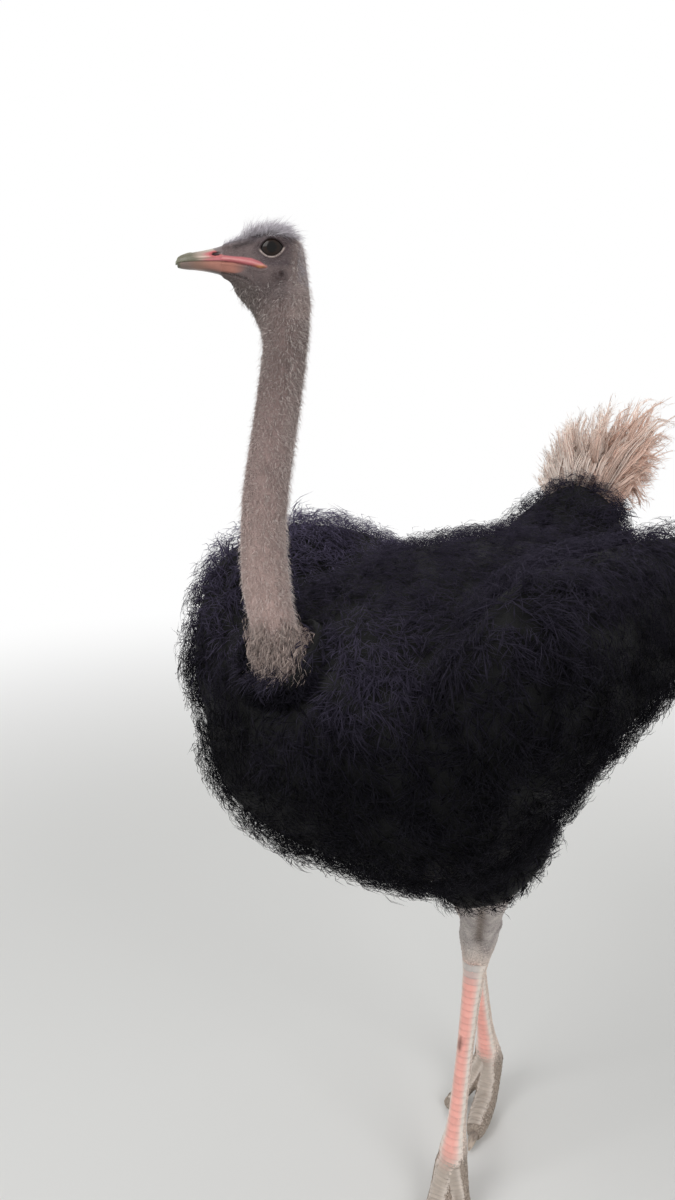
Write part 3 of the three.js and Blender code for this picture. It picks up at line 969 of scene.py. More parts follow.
def coatPiece(name, parts, material):
    # joins the parts into one piece with its colours and its OFBake map
    points, shades, maps = (np.concatenate([part[k] for part in parts]) for k in (0, 2, 3))
    starts = np.cumsum([0] + [len(part[0]) for part in parts])
    faces = np.concatenate([part[1] + start for part, start in zip(parts, starts)])
    piece = meshPiece(name, points, faces)
    tint(piece.data, shades)
    layer = piece.data.uv_layers.new(name="OFBake")
    layer.data.foreach_set("uv", np.clip(maps[faces.ravel()], 0, 1).astype(np.float32).ravel())
    smoothShaded(piece.data)
    piece.data.materials.append(material)
    print(name, len(faces), "triangles")
    return piece


def aroundBody(points):
    # an unwrap of the body: round its long axis, and from tail to breast
    left = points[:, 0] - standX
    forward = standY - points[:, 1]
    turn = np.arctan2(left, points[:, 2] - 1.24) / (2 * math.pi) + 0.5
    return np.stack([0.01 + 0.98 * turn, 0.01 + 0.98 * (forward + 0.78) / 1.46], 1)


# body plumage: loose black plumes whose fine barbs don't hold together
plumage = {
    "black": "#08080a",
    "lit": "#232128",  # painted light, on plumes that face the sky
    "sheen": "#665f78",  # a painted sheen, on the right wing and beside the collar
    "plumes": 16500,
    "spacing": 0.0098,
    "footPlumes": 900,  # short ones at the foot of the neck
    "thighPlumes": 2400,
    "fillPlumes": 14000,  # tried in bare spots, and kept this far from any other root
    "bareRound": 0.013,
    "shaftRun": 0.026,
    "shaftRise": 0.022,
    "kinds": [
        {"number": 3, "long": 0.040, "wide": 0.0030, "fan": 0.45, "low": -0.25, "high": 0.02, "lift": 0.75,
         "tone": 0.8, "straight": True},
        {"number": 5, "long": 0.034, "wide": 0.0011, "fan": 0.80, "low": -0.12, "high": 0.42, "lift": 1.0,
         "tone": 1.0, "straight": False},
    ],
    "lockWide": 0.075,
    "lockLean": 0.012,
    "bodyRound": 0.26,  # barbs bend down round a body of about this radius
    "tousle": 0.55,
    "neckFoot": 1.400,  # height where the black begins below the neck
    "seed": 11,
}


def bodyFlow(points, normals, rng):
    forward = standY - points[:, 1]
    direction = np.zeros_like(points)
    direction[:, 1] = 1.0 - 0.75 * smoothstep(0.35, 0.6, forward)  # backwards
    direction[:, 2] = -0.55 - 0.6 * smoothstep(0.3, 0.6, forward)
    direction[:, 0] = 0.25 * np.sign(points[:, 0] - standX)
    direction = turned(direction, normals, 0.6 * grain(points, 0.21, 1.0))
    direction[:, 2] -= 0.7 * smoothstep(0.95, 0.82, points[:, 2])
    # where the lie would part, as on the front of a wing, each plume goes its own way
    lie = direction - (direction * normals).sum(1, keepdims=True) * normals
    stray = np.cross(normals, rng.standard_normal(points.shape))
    return unit(lie + plumage["tousle"] * stray)


def barbPaths(where, facing, flow, size, high, run, kind, rng):
    # barbs leave the plume all along its shaft and turn away from its lie
    number = kind["number"]
    t = (np.arange(number) + rng.random((len(where), number))) / number
    across = np.cross(facing, flow)[:, None]
    along = flow[:, None]
    outward = facing[:, None]
    start = where[:, None] + along * (run * size[:, None] * t)[..., None]
    start = start + outward * (high[:, None] * (1 - (1 - t) ** 2))[..., None]
    fan = rng.normal(0, kind["fan"], t.shape)[..., None]
    direction = along * np.cos(fan) + across * np.sin(fan)
    long = kind["long"] * size[:, None] * rng.uniform(0.6, 1.35, t.shape)
    stand = rng.uniform(kind["low"], kind["high"], t.shape) * long
    stand -= (run * size[:, None] * t + long) ** 2 / (2 * plumage["bodyRound"])
    long, stand = long[..., None], stand[..., None]
    tip = start + direction * long + outward * stand
    bend = (start + tip) / 2 + outward * 0.0004
    if not kind["straight"]:
        hook = rng.normal(0, 0.16, t.shape)[..., None]
        bend = bend + (outward * 0.12 + across * hook) * long
    return np.stack([start, bend, tip], 2).reshape(-1, 3, 3)


def plumes(where, facing, flow, size, rise, colour, patches, rng, look):
    # each plume has a few flat barbs that lie low and more loose ones above them
    parts = []
    # neighbours lean together, which gathers them in soft locks
    lean = np.stack([grain(where, look["lockWide"], seed) for seed in (3.0, 9.0, 14.0)], -1)
    lean = (lean - (lean * facing).sum(1, keepdims=True) * facing) * look["lockLean"]
    for kind in look["kinds"]:
        number = kind["number"]
        high = look["shaftRise"] * rise * kind["lift"]
        paths = barbPaths(where, facing, flow, size, high, look["shaftRun"], kind, rng)
        paths = paths + np.repeat(lean, number, 0)[:, None] * np.array([0, 0.4, 1.0])[None, :, None]
        # each kind's tone paints the low barbs darker, as painted shade under the loose ones above them
        tones = np.repeat(colour * kind["tone"], number, 0) * rng.uniform(0.88, 1.14, (len(paths), 1))
        wide = kind["wide"] * rng.uniform(0.6, 1.25, len(paths))
        parts.append(slivers(paths, np.repeat(facing, number, 0), wide, wide * 0.6, tones,
                             np.repeat(patches, number, 0), fold=kind["straight"], soft=0.7))
    return parts


def sunkRoots(skin, shares, outside):
    # even over the outside of the coat, and then taken down to the skin below
    tree = treeOfMesh(skin.data)
    everywhere = np.ones(len(outside[0]))
    where, _ = rootsOn(outside, everywhere, plumage["plumes"] * 4, 3, plumage["spacing"])
    found = [tree.find_nearest(Vector(p)) for p in where]
    roots, normals, reach = (np.array([f[k] for f in found]) for k in (0, 1, 3))
    facing = unit(where - roots + normals * 0.004)
    corners = np.array([skin.data.polygons[f[2]].vertices[0] for f in found])
    kept = (shares["body"][corners] > 0.5) & (reach > 0.0015) & ((facing * normals).sum(1) > 0.1)
    return roots[kept], facing[kept], reach[kept]


def joined(roots, *more):
    return [np.concatenate(pair) for pair in zip(roots, more)]


def plumeRoots(skin, surface, shares, outside, rng):
    # where each plume grows, the way out from the skin, and how deep the coat is there
    roots = sunkRoots(skin, shares, outside)
    if len(roots[0]) > plumage["plumes"]:
        pick = np.sort(rng.choice(len(roots[0]), plumage["plumes"], replace=False))
        roots = [part[pick] for part in roots]
    # the foot of the neck isn't sunk, and short plumes lie over it
    height = surface[0][:, 2]
    ring = shares["foot"] * (height > 1.33) * (height < plumage["neckFoot"])
    more, away = rootsOn(surface, ring, plumage["footPlumes"], 4, 0.008)
    roots = joined(roots, more, away, np.full(len(more), 0.014))
    # plumes hang over the tops of the legs too
    more, away = rootsOn(surface, shares["thighs"], plumage["thighPlumes"], 8, 0.011)
    roots = joined(roots, more, away, 0.004 + 0.016 * smoothstep(0.82, 0.90, more[:, 2]))
    # wherever that leaves a bare spot, short plumes fill it
    planted = KDTree(len(roots[0]))
    for i, spot in enumerate(roots[0]):
        planted.insert(Vector(spot), i)
    planted.balance()
    more, away = rootsOn(surface, shares["body"], plumage["fillPlumes"], 9, 0.011)
    bare = np.array([planted.find(Vector(spot))[2] for spot in more]) > plumage["bareRound"]
    roots = joined(roots, more[bare], away[bare], np.full(bare.sum(), 0.012))
    print("plume roots:", len(roots[0]), "of which fill bare spots:", bare.sum())
    return roots


def growPlumage(skin, surface, shares, outside, material):
    rng = np.random.default_rng(plumage["seed"])
    where, facing, reach = plumeRoots(skin, surface, shares, outside, rng)
    count = len(where)
    flow = bodyFlow(where, facing, rng)
    owner = np.stack([nearestDistance(treeOf([node]), where) for node in bodyNodes]).argmin(0)
    rise = np.clip(reach, 0.007, skinShape["coatDepth"]) / skinShape["coatDepth"]
    lumps = 1 + 0.32 * grain(where, 0.10, 5.0)
    size = rng.uniform(0.85, 1.2, count) * (0.55 + 0.45 * rise)
    # the wings' outer faces have a shorter, flatter coat
    near = smoothstep(0.43, 0.51, abs(where[:, 0]))
    size, rise = size * (1 - 0.22 * near), rise * (1 - 0.42 * near)
    # painted light: plumes that face up are painted lighter, and the right wing and a patch beside the collar
    # get a painted sheen
    lit = smoothstep(0.1, 0.95, facing[:, 2])
    colour = mixed(plainColour(plumage["black"], count), plumage["lit"], lit)
    byCollar = lengths(where - np.array(place(0.50, 0.06, 1.37)))
    onRightWing = owner == bodyNodes.index("wing_right")
    sheen = lit * np.where(onRightWing, 1.0, 0.22) + 0.5 * bump(byCollar, 0.075)
    colour = mixed(colour, plumage["sheen"], 0.9 * sheen)
    colour = colour * (1 + 0.2 * grain(where, 0.16, 8.0))[:, None] * rng.uniform(0.88, 1.15, (count, 1))
    forward = standY - where[:, 1]
    # the trunk's coat is cut into bands from breast to rump, and each wing's into two
    bands = [("breast", 0.36, 9), ("flanks_front", 0.15, 0.36), ("flanks_rear", -0.06, 0.15)]
    bands += [("rump_upper", -9, -0.06), ("rump_lower", -9, -0.06)]
    groups = {}
    for name, low, high in bands:
        groups[f"plumage_{name}"] = (owner == 0) & (forward > low) & (forward <= high)
    groups["plumage_rump_upper"] &= where[:, 2] > 1.20
    groups["plumage_rump_lower"] &= where[:, 2] <= 1.20
    for wing in bodyNodes[1:]:
        side = wing.split("_")[1]
        onWing = owner == bodyNodes.index(wing)
        groups[f"plumage_wing_{side}_front"] = onWing & (forward > -0.02)
        groups[f"plumage_wing_{side}_rear"] = onWing & (forward <= -0.02)
    given = (where, facing, flow, size, rise * lumps, colour, aroundBody(where))
    for name, chosen in groups.items():
        parts = plumes(*(values[chosen] for values in given), rng, plumage)
        coatPiece(name, parts, material)


# down: fine short hairs on the neck, bristles on the face and longer hairs on the crown
down = {
    "pale": "#ecdfd9",
    "neckHairs": 56000,
    "neckLong": 0.0075,
    "neckWide": 0.0006,
    "stray": "#f4ebe6",
    "strayShare": 0.055,
    "strayWide": 0.00055,
    "bristle": "#cfc4c4",
    "faceHairs": 13000,
    "crown": "#d6d0d7",
    "crownHairs": 3000,
    "crownWide": 0.00045,
    "crownThick": 0.0003,
    "seed": 23,
}


def aroundNeck(points):
    # an unwrap of the neck: round it, and from its foot to the head
    middleX = standX - 0.112 + 0.05 * smoothstep(1.55, 1.30, points[:, 2])
    middleY = standY - (0.50 + 0.06 * smoothstep(1.90, 1.60, points[:, 2]))
    turn = np.arctan2(points[:, 0] - middleX, points[:, 1] - middleY) / (2 * math.pi) + 0.5
    return np.stack([0.01 + 0.98 * turn, 0.01 + 0.98 * (points[:, 2] - 1.25) / 0.85], 1)


def growDown(surface, shares, material):
    rng = np.random.default_rng(down["seed"])
    points = surface[0]
    places = toHead(points)
    forward, _, up = places.T
    head = ((lengths(places - [25, 0, -25]) < 112) & (up > -95)).astype(float)
    close = lengths(places) < 190
    neck = shares["neck"] * (~close | ((forward < 62) & ((up < -35) | (forward < -20))))
    where, facing = rootsOn(surface, neck, down["neckHairs"], 5)
    forward, _, up = toHead(where).T
    far = lengths(toHead(where)) > 190
    # the down thins out where it meets the face
    neckward = np.maximum(smoothstep(-40, -85, up), 0.7 * smoothstep(-22, -40, forward))
    neckward = np.where(far, 1.0, neckward)
    kept = rng.random(len(where)) < neckward
    where, facing, neckward = where[kept], facing[kept], neckward[kept]
    flow = onSurface(np.array([0, 0, -1.0]), facing)
    flow = turned(flow, facing, rng.normal(0, 0.5, len(where)) + 0.4 * grain(where, 0.05, 3.0))
    low = smoothstep(1.50, 1.38, where[:, 2])
    long = down["neckLong"] * rng.uniform(0.6, 1.35, len(where)) * (0.6 + 0.4 * neckward + 0.8 * low)
    lean = rng.uniform(0.3, 0.85, len(where))
    tip = where + (flow * np.cos(lean)[:, None] + facing * np.sin(lean)[:, None]) * long[:, None]
    bend = (where + tip) / 2 + facing * 0.0003
    colour = birdColour(where, flatShares(len(where))) * rng.uniform(0.86, 1.1, (len(where), 1))
    colour = mixed(colour, down["pale"], 0.10 + 0.28 * rng.random(len(where)))
    for name, half in (("neck_down_upper", where[:, 2] >= 1.66), ("neck_down_lower", where[:, 2] < 1.66)):
        wide = down["neckWide"] * rng.uniform(0.7, 1.2, half.sum())
        path = np.stack([where - facing * 0.0008, bend, tip], 1)[half]
        part = slivers(path, facing[half], wide, wide, colour[half], aroundNeck(where[half]),
                       fold=True, soft=0.6)
        coatPiece(name, [part], material)
    growStrays(where, facing, flow, colour, material, rng)
    growFace(surface, head, material, rng)
    growCrown(surface, head, material, rng)


def growStrays(where, facing, flow, colour, material, rng):
    # longer pale hairs that stand out from the down, most of all at the nape
    behind = smoothstep(-0.3, 0.8, facing @ np.array(headTurned @ [0, 1.0, 0]))
    pick = rng.random(len(where)) < down["strayShare"] * (1 + 2 * behind)
    where, facing, flow, colour, behind = (v[pick] for v in (where, facing, flow, colour, behind))
    long = rng.uniform(0.009, 0.017, len(where))[:, None]
    bend = where + (facing * 0.45 + flow * 0.12) * long
    rise, run = rng.uniform(0.55, 0.85, long.shape), rng.uniform(0.3, 0.8, long.shape)
    tip = where + (facing * rise + flow * run) * long
    tip += rng.normal(0, 0.0012, tip.shape)
    colour = mixed(colour, down["stray"], np.full(len(where), 0.6))
    path, wide = np.stack([where, bend, tip], 1), down["strayWide"]
    part = slivers(path, facing, wide, wide * 0.7, colour, aroundNeck(where))
    coatPiece("neck_strays", [part], material)


def flatShares(count, legs=0.0):
    return {"legs": np.full(count, legs), "body": np.zeros(count)}


def aroundHead(points):
    # an unwrap of the head: round it, and from below to above
    places = toHead(points) - headCentre
    turn = np.arctan2(places[:, 1], places[:, 0]) / (2 * math.pi) + 0.5
    height = np.arctan2(places[:, 2], np.hypot(places[:, 0], places[:, 1])) / math.pi + 0.5
    return np.stack([0.01 + 0.98 * turn, 0.01 + 0.98 * height], 1)


def headFlow(places):
    # hair on the head lies back from the bill, round the eye and down to the neck
    forward, left, up = places.T
    falling = -0.25 - 0.9 * smoothstep(-10, -60, forward)
    direction = np.stack([-np.ones(len(forward)), 0.15 * np.sign(left), falling], 1)
    direction[:, 2] -= 0.16 * bump(forward - 10, 22) * smoothstep(10, 24, up)
    return fromHead(places + direction) - fromHead(places)


def growFace(surface, head, material, rng):
    where, facing = rootsOn(surface, head, down["faceHairs"] * 2, 6)
    places = toHead(where)
    forward, left, up = places.T
    spread = opening(forward, up)
    mouth, top, foot = (polyline(line, forward) for line in (mouthLine, coralTop, mandibleFoot))
    # none on the eye and its lids, the coral skin, the lower jaw's bare side and the horn
    bare = (spread < 1.22) & (abs(left) > 10)
    bare |= (up < top + 1.5) & (up > mouth - 1) & (forward > 6)
    bare |= (up > foot) & (up < mouth) & (forward > 42)
    bare |= (forward > 70) & (up < top + 1.5)
    bare |= forward > 86
    bare |= rng.random(len(where)) < smoothstep(-55, -90, up)
    where, facing, places = (values[~bare][:down["faceHairs"]] for values in (where, facing, places))
    forward, _, up = places.T
    flow = onSurface(unit(headFlow(places)), facing)
    flow = turned(flow, facing, rng.normal(0, 0.35, len(where)))
    back = smoothstep(-10, -45, forward) + smoothstep(-40, -75, up)
    long = (0.0034 + 0.0028 * np.clip(back, 0, 1)) * rng.uniform(0.7, 1.3, len(where))
    tip = where + (flow + facing * rng.uniform(0.15, 0.5, (len(where), 1))) * long[:, None]
    bend = (where + tip) / 2 + facing * 0.0002
    colour = birdColour(where, flatShares(len(where)))
    colour = colour * rng.uniform(0.8, 1.15, (len(where), 1))
    colour = mixed(colour, down["bristle"], 0.4 * rng.random(len(where)))
    wide = rng.uniform(0.0003, 0.0005, len(where))
    path = np.stack([where - facing * 0.0005, bend, tip], 1)
    part = slivers(path, facing, wide, wide, colour, aroundHead(where), fold=True)
    coatPiece("face_bristles", [part], material)


def growCrown(surface, head, material, rng):
    where, facing = rootsOn(surface, head, down["crownHairs"] * 8, 7)
    places = toHead(where)
    forward, _, up = places.T
    forehead = (forward > 40) & (up > 9 - 0.2 * (forward - 60))
    top = (up > 14 + 0.10 * abs(forward - 10)) | forehead | (forward < -38)
    top &= (forward < 86) & (forward > -60) & (up > -50)
    where, facing, places = (values[top][:down["crownHairs"]] for values in (where, facing, places))
    forward, _, up = places.T
    flow = onSurface(unit(headFlow(places)), facing)
    high = smoothstep(4, 22, up)
    brow = smoothstep(15, 42, forward)
    long = (0.008 + 0.007 * high) * (1 + 0.2 * brow) * rng.uniform(0.6, 1.3, len(where))
    stand = (0.45 + 0.5 * high) * (1 - 0.15 * brow) * rng.uniform(0.5, 1.2, len(where))
    steps = np.linspace(0, 1, 4)[None, :, None]
    sway = rng.normal(0, 0.22, (len(where), 3))
    paths = where[:, None] + (flow * 0.75)[:, None] * long[:, None, None] * steps**1.4
    paths = paths + facing[:, None] * (long * stand)[:, None, None] * steps**0.8
    paths = paths + sway[:, None] * long[:, None, None] * steps**2
    paths[:, 0] -= facing * 0.001
    colour = plainColour(down["crown"], len(where)) * rng.uniform(0.7, 1.2, (len(where), 1))
    part = slivers(paths, facing, down["crownWide"], down["crownThick"], colour, aroundHead(where))
    coatPiece("crown_hair", [part], material)


# the collar: pale pointed tufts that hang from the foot of the neck over the black plumage
collarLook = {
    "colour": "#a8958e",
    "pale": "#e2cfc6",
    "roots": 9000,
    "spacing": 0.0058,
    "shaftRun": 0.016,
    "shaftRise": 1.0,
    "kinds": [
        {"number": 4, "long": 0.024, "wide": 0.0018, "fan": 0.2, "low": -0.1, "high": 0.12, "lift": 0.8,
         "tone": 0.8, "straight": True},
        {"number": 6, "long": 0.024, "wide": 0.0009, "fan": 0.30, "low": 0.0, "high": 0.45, "lift": 1.0,
         "tone": 1.1, "straight": False},
    ],
    "lockWide": 0.02,
    "lockLean": 0.004,
    "seed": 31,
}


def growCollar(surface, shares, material):
    rng = np.random.default_rng(collarLook["seed"])
    height = surface[0][:, 2]
    ring = shares["ring"] * (height < 1.47) * (height > 1.385)
    where, facing = rootsOn(surface, ring, collarLook["roots"], 9, collarLook["spacing"])
    share = smoothstep(1.475, 1.415, where[:, 2])
    kept = rng.random(len(where)) < 0.15 + 0.85 * share
    where, facing, share = where[kept], facing[kept], share[kept]
    count = len(where)
    depth = nearestDistance(treeOf(neckNodes), where)
    flow = onSurface(np.array([0, -0.1, -1.0]), facing)
    flow = turned(flow, facing, rng.normal(0, 0.22, count))
    colour = plainColour(collarLook["colour"], count) * rng.uniform(0.55, 1.1, (count, 1))
    colour = mixed(colour, collarLook["pale"], 0.6 * rng.random(count))
    size = rng.uniform(0.7, 1.35, count) * (0.6 + 0.4 * share)
    rise = (depth + 0.003) * rng.uniform(0.8, 1.3, count)
    parts = plumes(where, facing, flow, size, rise, colour, aroundNeck(where), rng, collarLook)
    coatPiece("collar_tufts", parts, material)


def looseLocks(spine, flat, outward, tone, dim, spots, look, rng):
    # each plume is a loose ribbon of strands along its spine, fringed on both sides by short barbs
    count, steps = spine.shape[:2]
    strands = look["strands"]
    share = np.linspace(0, 1, steps)
    ahead = unit(np.gradient(spine, axis=1))
    rows = np.arange(count)[:, None]
    taper = (0.45 + 1.3 * share - 1.55 * share**4)[None, :]
    lift = np.array([0.3, -0.5, 0.8])  # the way the strands' flat sides face
    paths, widths, colours = [], [], []
    for strand in range(strands):
        off = (strand / (strands - 1) - 0.5) * look["ribbonWide"] * rng.uniform(0.7, 1.3, (count, 1))
        path = spine + flat * (off * taper)[..., None] + outward * rng.normal(0, 0.0012, (count, 1, 1))
        cut = 1 - 0.22 * rng.random(count) ** 2
        times = share[None, :] * cut[:, None] * (steps - 1)
        low = np.minimum(times.astype(int), steps - 2)
        part = (times - low)[..., None]
        paths.append(path[rows, low] * (1 - part) + path[rows, low + 1] * part)
        widths.append(look["strandWide"] * rng.uniform(0.6, 1.3, count))
        dark = (rng.random((count, 1)) < 0.16) * 0.6
        colours.append((tone * (1 - dark) + dim * dark) * rng.uniform(0.9, 1.08, (count, 1)))
    paths, widths = np.concatenate(paths), np.concatenate(widths)
    locks = slivers(paths, lift, widths, widths * 0.5, np.concatenate(colours), np.tile(spots, (strands, 1)))

    side = look["sideBarbs"]
    at = rng.uniform(0.15, 0.97, (count, side)) * (steps - 1)
    low = np.minimum(at.astype(int), steps - 2)
    part = (at - low)[..., None]
    start = spine[rows, low] * (1 - part) + spine[rows, low + 1] * part
    go = ahead[rows, low]
    hand = np.where(rng.random((count, side, 1)) < 0.5, -1.0, 1.0)
    away = flat[rows, low] * hand
    longs = rng.uniform(*look["barbLong"], (count, side, 1))
    start = start + away * look["ribbonWide"] * 0.35
    hooks = rng.normal(0, look["hook"], (count, side, 3))
    path = []
    for s in (0.0, 0.5, 1.0):
        path.append(start + go * longs * s + away * longs * (0.55 * s**1.3) + hooks * longs * 0.5 * s**2.5)
    paths = np.stack(path, 2).reshape(-1, 3, 3)
    colour = np.repeat(tone, side, 0) * rng.uniform(0.9, 1.12, (count * side, 1))
    wisps = slivers(paths, lift, 0.0013, 0.0007, colour, np.repeat(spots, side, 0))
    return [locks, wisps]


# tail: wavy cream plumes that stand up from the rump, sweep back and curl over at their tips
tailLook = {
    "pale": "#fff1e7",
    "warm": "#f3d2c1",
    "dim": "#a5806c",
    "locks": 250,
    "strands": 7,
    "sideBarbs": 26,
    "steps": 12,
    "ribbonWide": 0.0125,
    "strandWide": 0.0024,
    "wave": 0.0165,
    "barbLong": (0.008, 0.022),
    "hook": 0.35,  # how far the side barbs stray
    "curlRound": 0.016,
    "seed": 41,
}
# tips round the fan's edge from its root: to the bird's left, back and up
tailFan = [
    (-0.112, 0.03, 0.050),
    (-0.108, 0.05, 0.112),
    (-0.096, 0.08, 0.168),
    (-0.074, 0.12, 0.206),
    (-0.032, 0.17, 0.214),
    (0.006, 0.22, 0.216),
    (0.052, 0.26, 0.212),
    (0.092, 0.29, 0.196),
    (0.104, 0.29, 0.128),
    (0.094, 0.25, 0.070),
    (0.082, 0.21, 0.026),
    (0.072, 0.17, -0.010),
]


def growTail(material):
    rng = np.random.default_rng(tailLook["seed"])
    count, steps = tailLook["locks"], tailLook["steps"]
    share = np.linspace(0, 1, steps)
    # u runs round the fan, from the short spikes on the bird's right to the locks that hang at its left
    u = np.sort(rng.random(count)) * (len(tailFan) - 1)
    fan = u / (len(tailFan) - 1)
    edge = np.concatenate([np.arange(len(tailFan))[:, None], np.array(tailFan, float)], 1)
    left, back, high = (between(edge, u, k) for k in (1, 2, 3))
    reach = 1.10 - 0.38 * rng.random(count) ** 1.6 + 0.12 * (rng.random(count) < 0.1)
    deeper = rng.uniform(-0.12, 0.01, count) * smoothstep(0.1, 0.4, fan)
    tip = np.stack([left * reach - 0.35 * deeper, (back + deeper) * reach, high * reach], 1)
    foot = [0.058 * (fan * 2 - 1) + rng.normal(0, 0.012, count), 0.03 * rng.random(count)]
    foot = np.stack(foot + [0.01 * rng.random(count)], 1)
    # each lock is a curve from its foot to its tip, bent up and forward between them
    long = lengths(tip - foot)
    bend = foot + (tip - foot) * 0.5
    bend[:, 2] += long * (0.06 + 0.36 * smoothstep(0.3, 1.0, fan))
    bend[:, 1] -= long * 0.12 * smoothstep(0.2, 0.6, fan)
    s = share[None, :, None]
    spine = foot[:, None] * (1 - s) ** 2 + bend[:, None] * 2 * s * (1 - s) + tip[:, None] * s**2
    spine = spine + [standX, standY + 0.450, 1.545]
    ahead = unit(np.gradient(spine, axis=1))
    outward = unit(np.cross(ahead, np.array([1.0, 0, 0])))
    sideways = unit(np.cross(outward, ahead))
    # it waves to and fro, and its tip curls over, less on the short spikes
    soft = smoothstep(0.12, 0.45, fan)[:, None]
    waves = rng.uniform(0, 2 * math.pi, (count, 1)) + share[None, :] * rng.uniform(7, 13, (count, 1))
    sway = tailLook["wave"] * np.sin(waves) * share[None, :] ** 0.7 * (0.25 + 0.75 * soft)
    spine = spine + outward * sway[..., None] + sideways * (0.5 * np.roll(sway, 1, 0))[..., None]
    curl = smoothstep(0.55, 1.0, share)[None, :] * rng.uniform(0.3, 1.6, (count, 1)) * soft * math.pi
    way = np.where(rng.random((count, 1)) < 0.75, -1.0, 1.0)
    spine = spine + outward * (way * tailLook["curlRound"] * (1 - np.cos(curl)))[..., None]
    spine = spine - ahead * (tailLook["curlRound"] * np.sin(curl) * 0.6)[..., None]
    ahead = unit(np.gradient(spine, axis=1))
    sideways = unit(np.cross(outward, ahead))
    pale, warm, dim = (np.array(linear(tailLook[name])) for name in ("pale", "warm", "dim"))
    spots = np.stack([0.02 + 0.96 * fan, 0.02 + 0.96 * reach], 1)
    blend = np.clip(1.5 * fan - 0.2 + rng.normal(0, 0.22, count), 0, 1)[:, None]
    tone = (pale * (1 - blend) + warm * blend) * rng.uniform(0.86, 1.16, (count, 1))
    twist = rng.normal(0, 0.5, (count, 1)) + share[None, :] * rng.normal(0, 0.9, (count, 1))
    flat = sideways * np.cos(twist)[..., None] + outward * np.sin(twist)[..., None]
    parts = looseLocks(spine, flat, outward, tone, dim, spots, tailLook, rng)
    tail = coatPiece("tail_plumes", parts, material)
    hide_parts("tail")


# a male's white primaries: soft plumes that fall over the rear end of each wing
primaryLook = {
    "pale": "#f3efe9",
    "dim": "#b9b2aa",
    "locks": 22,
    "strands": 9,
    "sideBarbs": 96,
    "steps": 10,
    "ribbonWide": 0.022,
    "strandWide": 0.0017,
    "barbLong": (0.016, 0.034),
    "hook": 0.9,
    "seed": 47,
}


def growPrimaries(material):
    rng = np.random.default_rng(primaryLook["seed"])
    count, steps = primaryLook["locks"], primaryLook["steps"]
    share = np.linspace(0, 1, steps)[None, :]
    for side, hand in (("left", 1), ("right", -1)):
        # each lock's line over the wing, laid on the wing and smoothed
        tree = treeOf([f"wing_{side}"])
        start = np.linspace(0, 1, count)[:, None] + rng.normal(0, 0.03, (count, 1))
        forward = -0.36 - 0.07 * start + (-0.20 + 0.03 * start) * share
        out = 0.47 - 0.03 * start + 0.01 * share
        drop = 0.15 * (side == "right")
        high = 1.36 - 0.20 * start - 0.10 * share**1.5 - drop
        line = np.stack([hand * out + standX, standY - forward, high], -1)
        near = [[tree.find_nearest(Vector(p))[:2] for p in row] for row in line]
        onWing, facing = (np.array([[np.array(pair[k]) for pair in row] for row in near]) for k in (0, 1))
        onWing = onWing + facing * 0.006
        facing = unit(facing + unit(facing.mean(1, keepdims=True)))
        for _ in range(6):
            onWing[:, 1:-1] = (onWing[:, :-2] + onWing[:, 1:-1] + onWing[:, 2:]) / 3
            facing = unit(facing + np.roll(facing, 1, 1) + np.roll(facing, -1, 1))
        lift = rng.uniform(0.004, 0.016, (count, 1)) + 0.02 * share * (2 - share)
        spine = onWing + facing * lift[..., None]
        sway = np.sin(rng.uniform(0, 6.3, (count, 1)) + 7 * share) * 0.012 * share
        spine = spine + unit(np.cross(facing, np.gradient(spine, axis=1))) * sway[..., None]
        flat = unit(np.cross(facing, np.gradient(spine, axis=1)))
        tone = np.array(linear(primaryLook["pale"])) * rng.uniform(0.82, 1.02, (count, 1))
        dim = np.array(linear(primaryLook["dim"]))
        spots = np.clip(np.stack([0.02 + 0.96 * start[:, 0], np.full(count, 0.5)], 1), 0.01, 0.99)
        parts = looseLocks(spine, flat, facing, tone, dim, spots, primaryLook, rng)
        coatPiece(f"white_primaries_{side}", parts, material)


# legs: a grooved hock, folded toes, scutes in front, small scales and claws
legLook = {
    "toeTurn": 13.0,  # degrees to the bird's left
    "bigToe": -0.012,  # outward of the ball
    "grooveDeep": 0.0055,
    "grooveWide": 0.0085,
    "foldDeep": {"left": 0.0016, "right": 0.0036},
    "foldLong": {"left": 0.016, "right": 0.028},
    "scutePitch": 0.0150,
    "toePitch": 0.0085,
    "scuteThick": 0.0011,
    "scuteSpan": 74.0,  # degrees to each side of the front
    "scuteSeed": 51,
    "scaleSpacing": 0.0068,
    "scaleHigh": 0.0010,
    "scaleSeed": 52,
}


def fromBall(leg, forward, outward, up):
    turn = math.radians(legLook["toeTurn"])
    ballForward, ballLeft = standY - leg["ball"].y, leg["ball"].x - standX
    along = forward * math.cos(turn) - leg["hand"] * outward * math.sin(turn)
    across = forward * math.sin(turn) + leg["hand"] * outward * math.cos(turn)
    return np.array(place(ballForward + along, ballLeft + across, up))


def toeWays(leg):
    # unit steps forward and outward of the ball of the foot
    start = fromBall(leg, 0, 0, 0)
    return fromBall(leg, 1, 0, 0) - start, fromBall(leg, 0, 1, 0) - start


